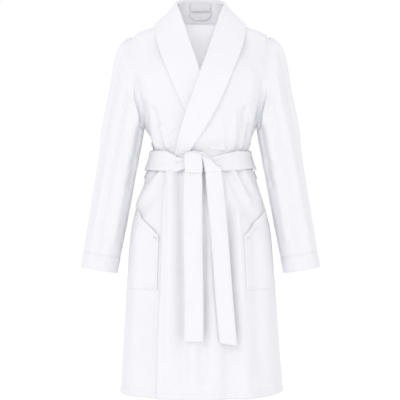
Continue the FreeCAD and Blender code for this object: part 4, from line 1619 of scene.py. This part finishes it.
class ROBE_OT_stage(bpy.types.Operator):
    """Make the floor, the lamps and the camera"""

    bl_idname = "robe.stage"
    bl_label = "Stage"

    def execute(self, context):
        make_stage()
        return {"FINISHED"}


class ROBE_OT_body(bpy.types.Operator):
    """Make the back and both fronts"""

    bl_idname = "robe.body"
    bl_label = "Body panels"

    def execute(self, context):
        make_body()
        return {"FINISHED"}


class ROBE_OT_collar(bpy.types.Operator):
    """Make both halves of the shawl collar"""

    bl_idname = "robe.collar"
    bl_label = "Shawl collar"

    def execute(self, context):
        make_collar()
        return {"FINISHED"}


class ROBE_OT_neck(bpy.types.Operator):
    """Make the neck facing, the blank label and the hanging loop"""

    bl_idname = "robe.neck"
    bl_label = "Inside neck"

    def execute(self, context):
        make_neck()
        return {"FINISHED"}


class ROBE_OT_sleeves(bpy.types.Operator):
    """Make the sleeves and their cuff turnings"""

    bl_idname = "robe.sleeves"
    bl_label = "Sleeves"

    def execute(self, context):
        make_sleeves()
        return {"FINISHED"}


class ROBE_OT_belt(bpy.types.Operator):
    """Make the belt, its half knot, its ends and its carriers"""

    bl_idname = "robe.belt"
    bl_label = "Belt"

    def execute(self, context):
        make_belt()
        return {"FINISHED"}


class ROBE_OT_pockets(bpy.types.Operator):
    """Make the patch pockets and their slanted mouths"""

    bl_idname = "robe.pockets"
    bl_label = "Pockets"

    def execute(self, context):
        make_pockets()
        return {"FINISHED"}


class ROBE_OT_care_label(bpy.types.Operator):
    """Make the blank care label in the side seam"""

    bl_idname = "robe.care_label"
    bl_label = "Care label"

    def execute(self, context):
        make_care_label()
        return {"FINISHED"}


OPERATORS = [
    ROBE_OT_stage,
    ROBE_OT_body,
    ROBE_OT_collar,
    ROBE_OT_neck,
    ROBE_OT_sleeves,
    ROBE_OT_belt,
    ROBE_OT_pockets,
    ROBE_OT_care_label,
]


class ROBE_PT_panel(bpy.types.Panel):
    """Lists the steps that dress the robe."""

    bl_label = "Bathrobe"
    bl_idname = "ROBE_PT_panel"
    bl_space_type = "VIEW_3D"
    bl_region_type = "UI"
    bl_category = "Bathrobe"

    def draw(self, context):
        for group in (context.scene.robe_sizes, context.scene.robe_finish):
            for key in group.__annotations__:
                self.layout.prop(group, key)
        for operator in OPERATORS:
            self.layout.operator(operator.bl_idname)


CLASSES = [RobeSizes, RobeFinish, *OPERATORS, ROBE_PT_panel]


def register():
    for made in CLASSES:
        bpy.utils.register_class(made)
    bpy.types.Scene.robe_sizes = PointerProperty(type=RobeSizes)
    bpy.types.Scene.robe_finish = PointerProperty(type=RobeFinish)


def unregister():
    del bpy.types.Scene.robe_finish
    del bpy.types.Scene.robe_sizes
    for made in reversed(CLASSES):
        bpy.utils.unregister_class(made)


def main():
    register()
    bpy.ops.robe.stage()
    bpy.ops.robe.body()
    bpy.ops.robe.collar()
    bpy.ops.robe.neck()
    bpy.ops.robe.sleeves()
    bpy.ops.robe.belt()
    bpy.ops.robe.pockets()
    bpy.ops.robe.care_label()


if __name__ == "__main__":
    main()
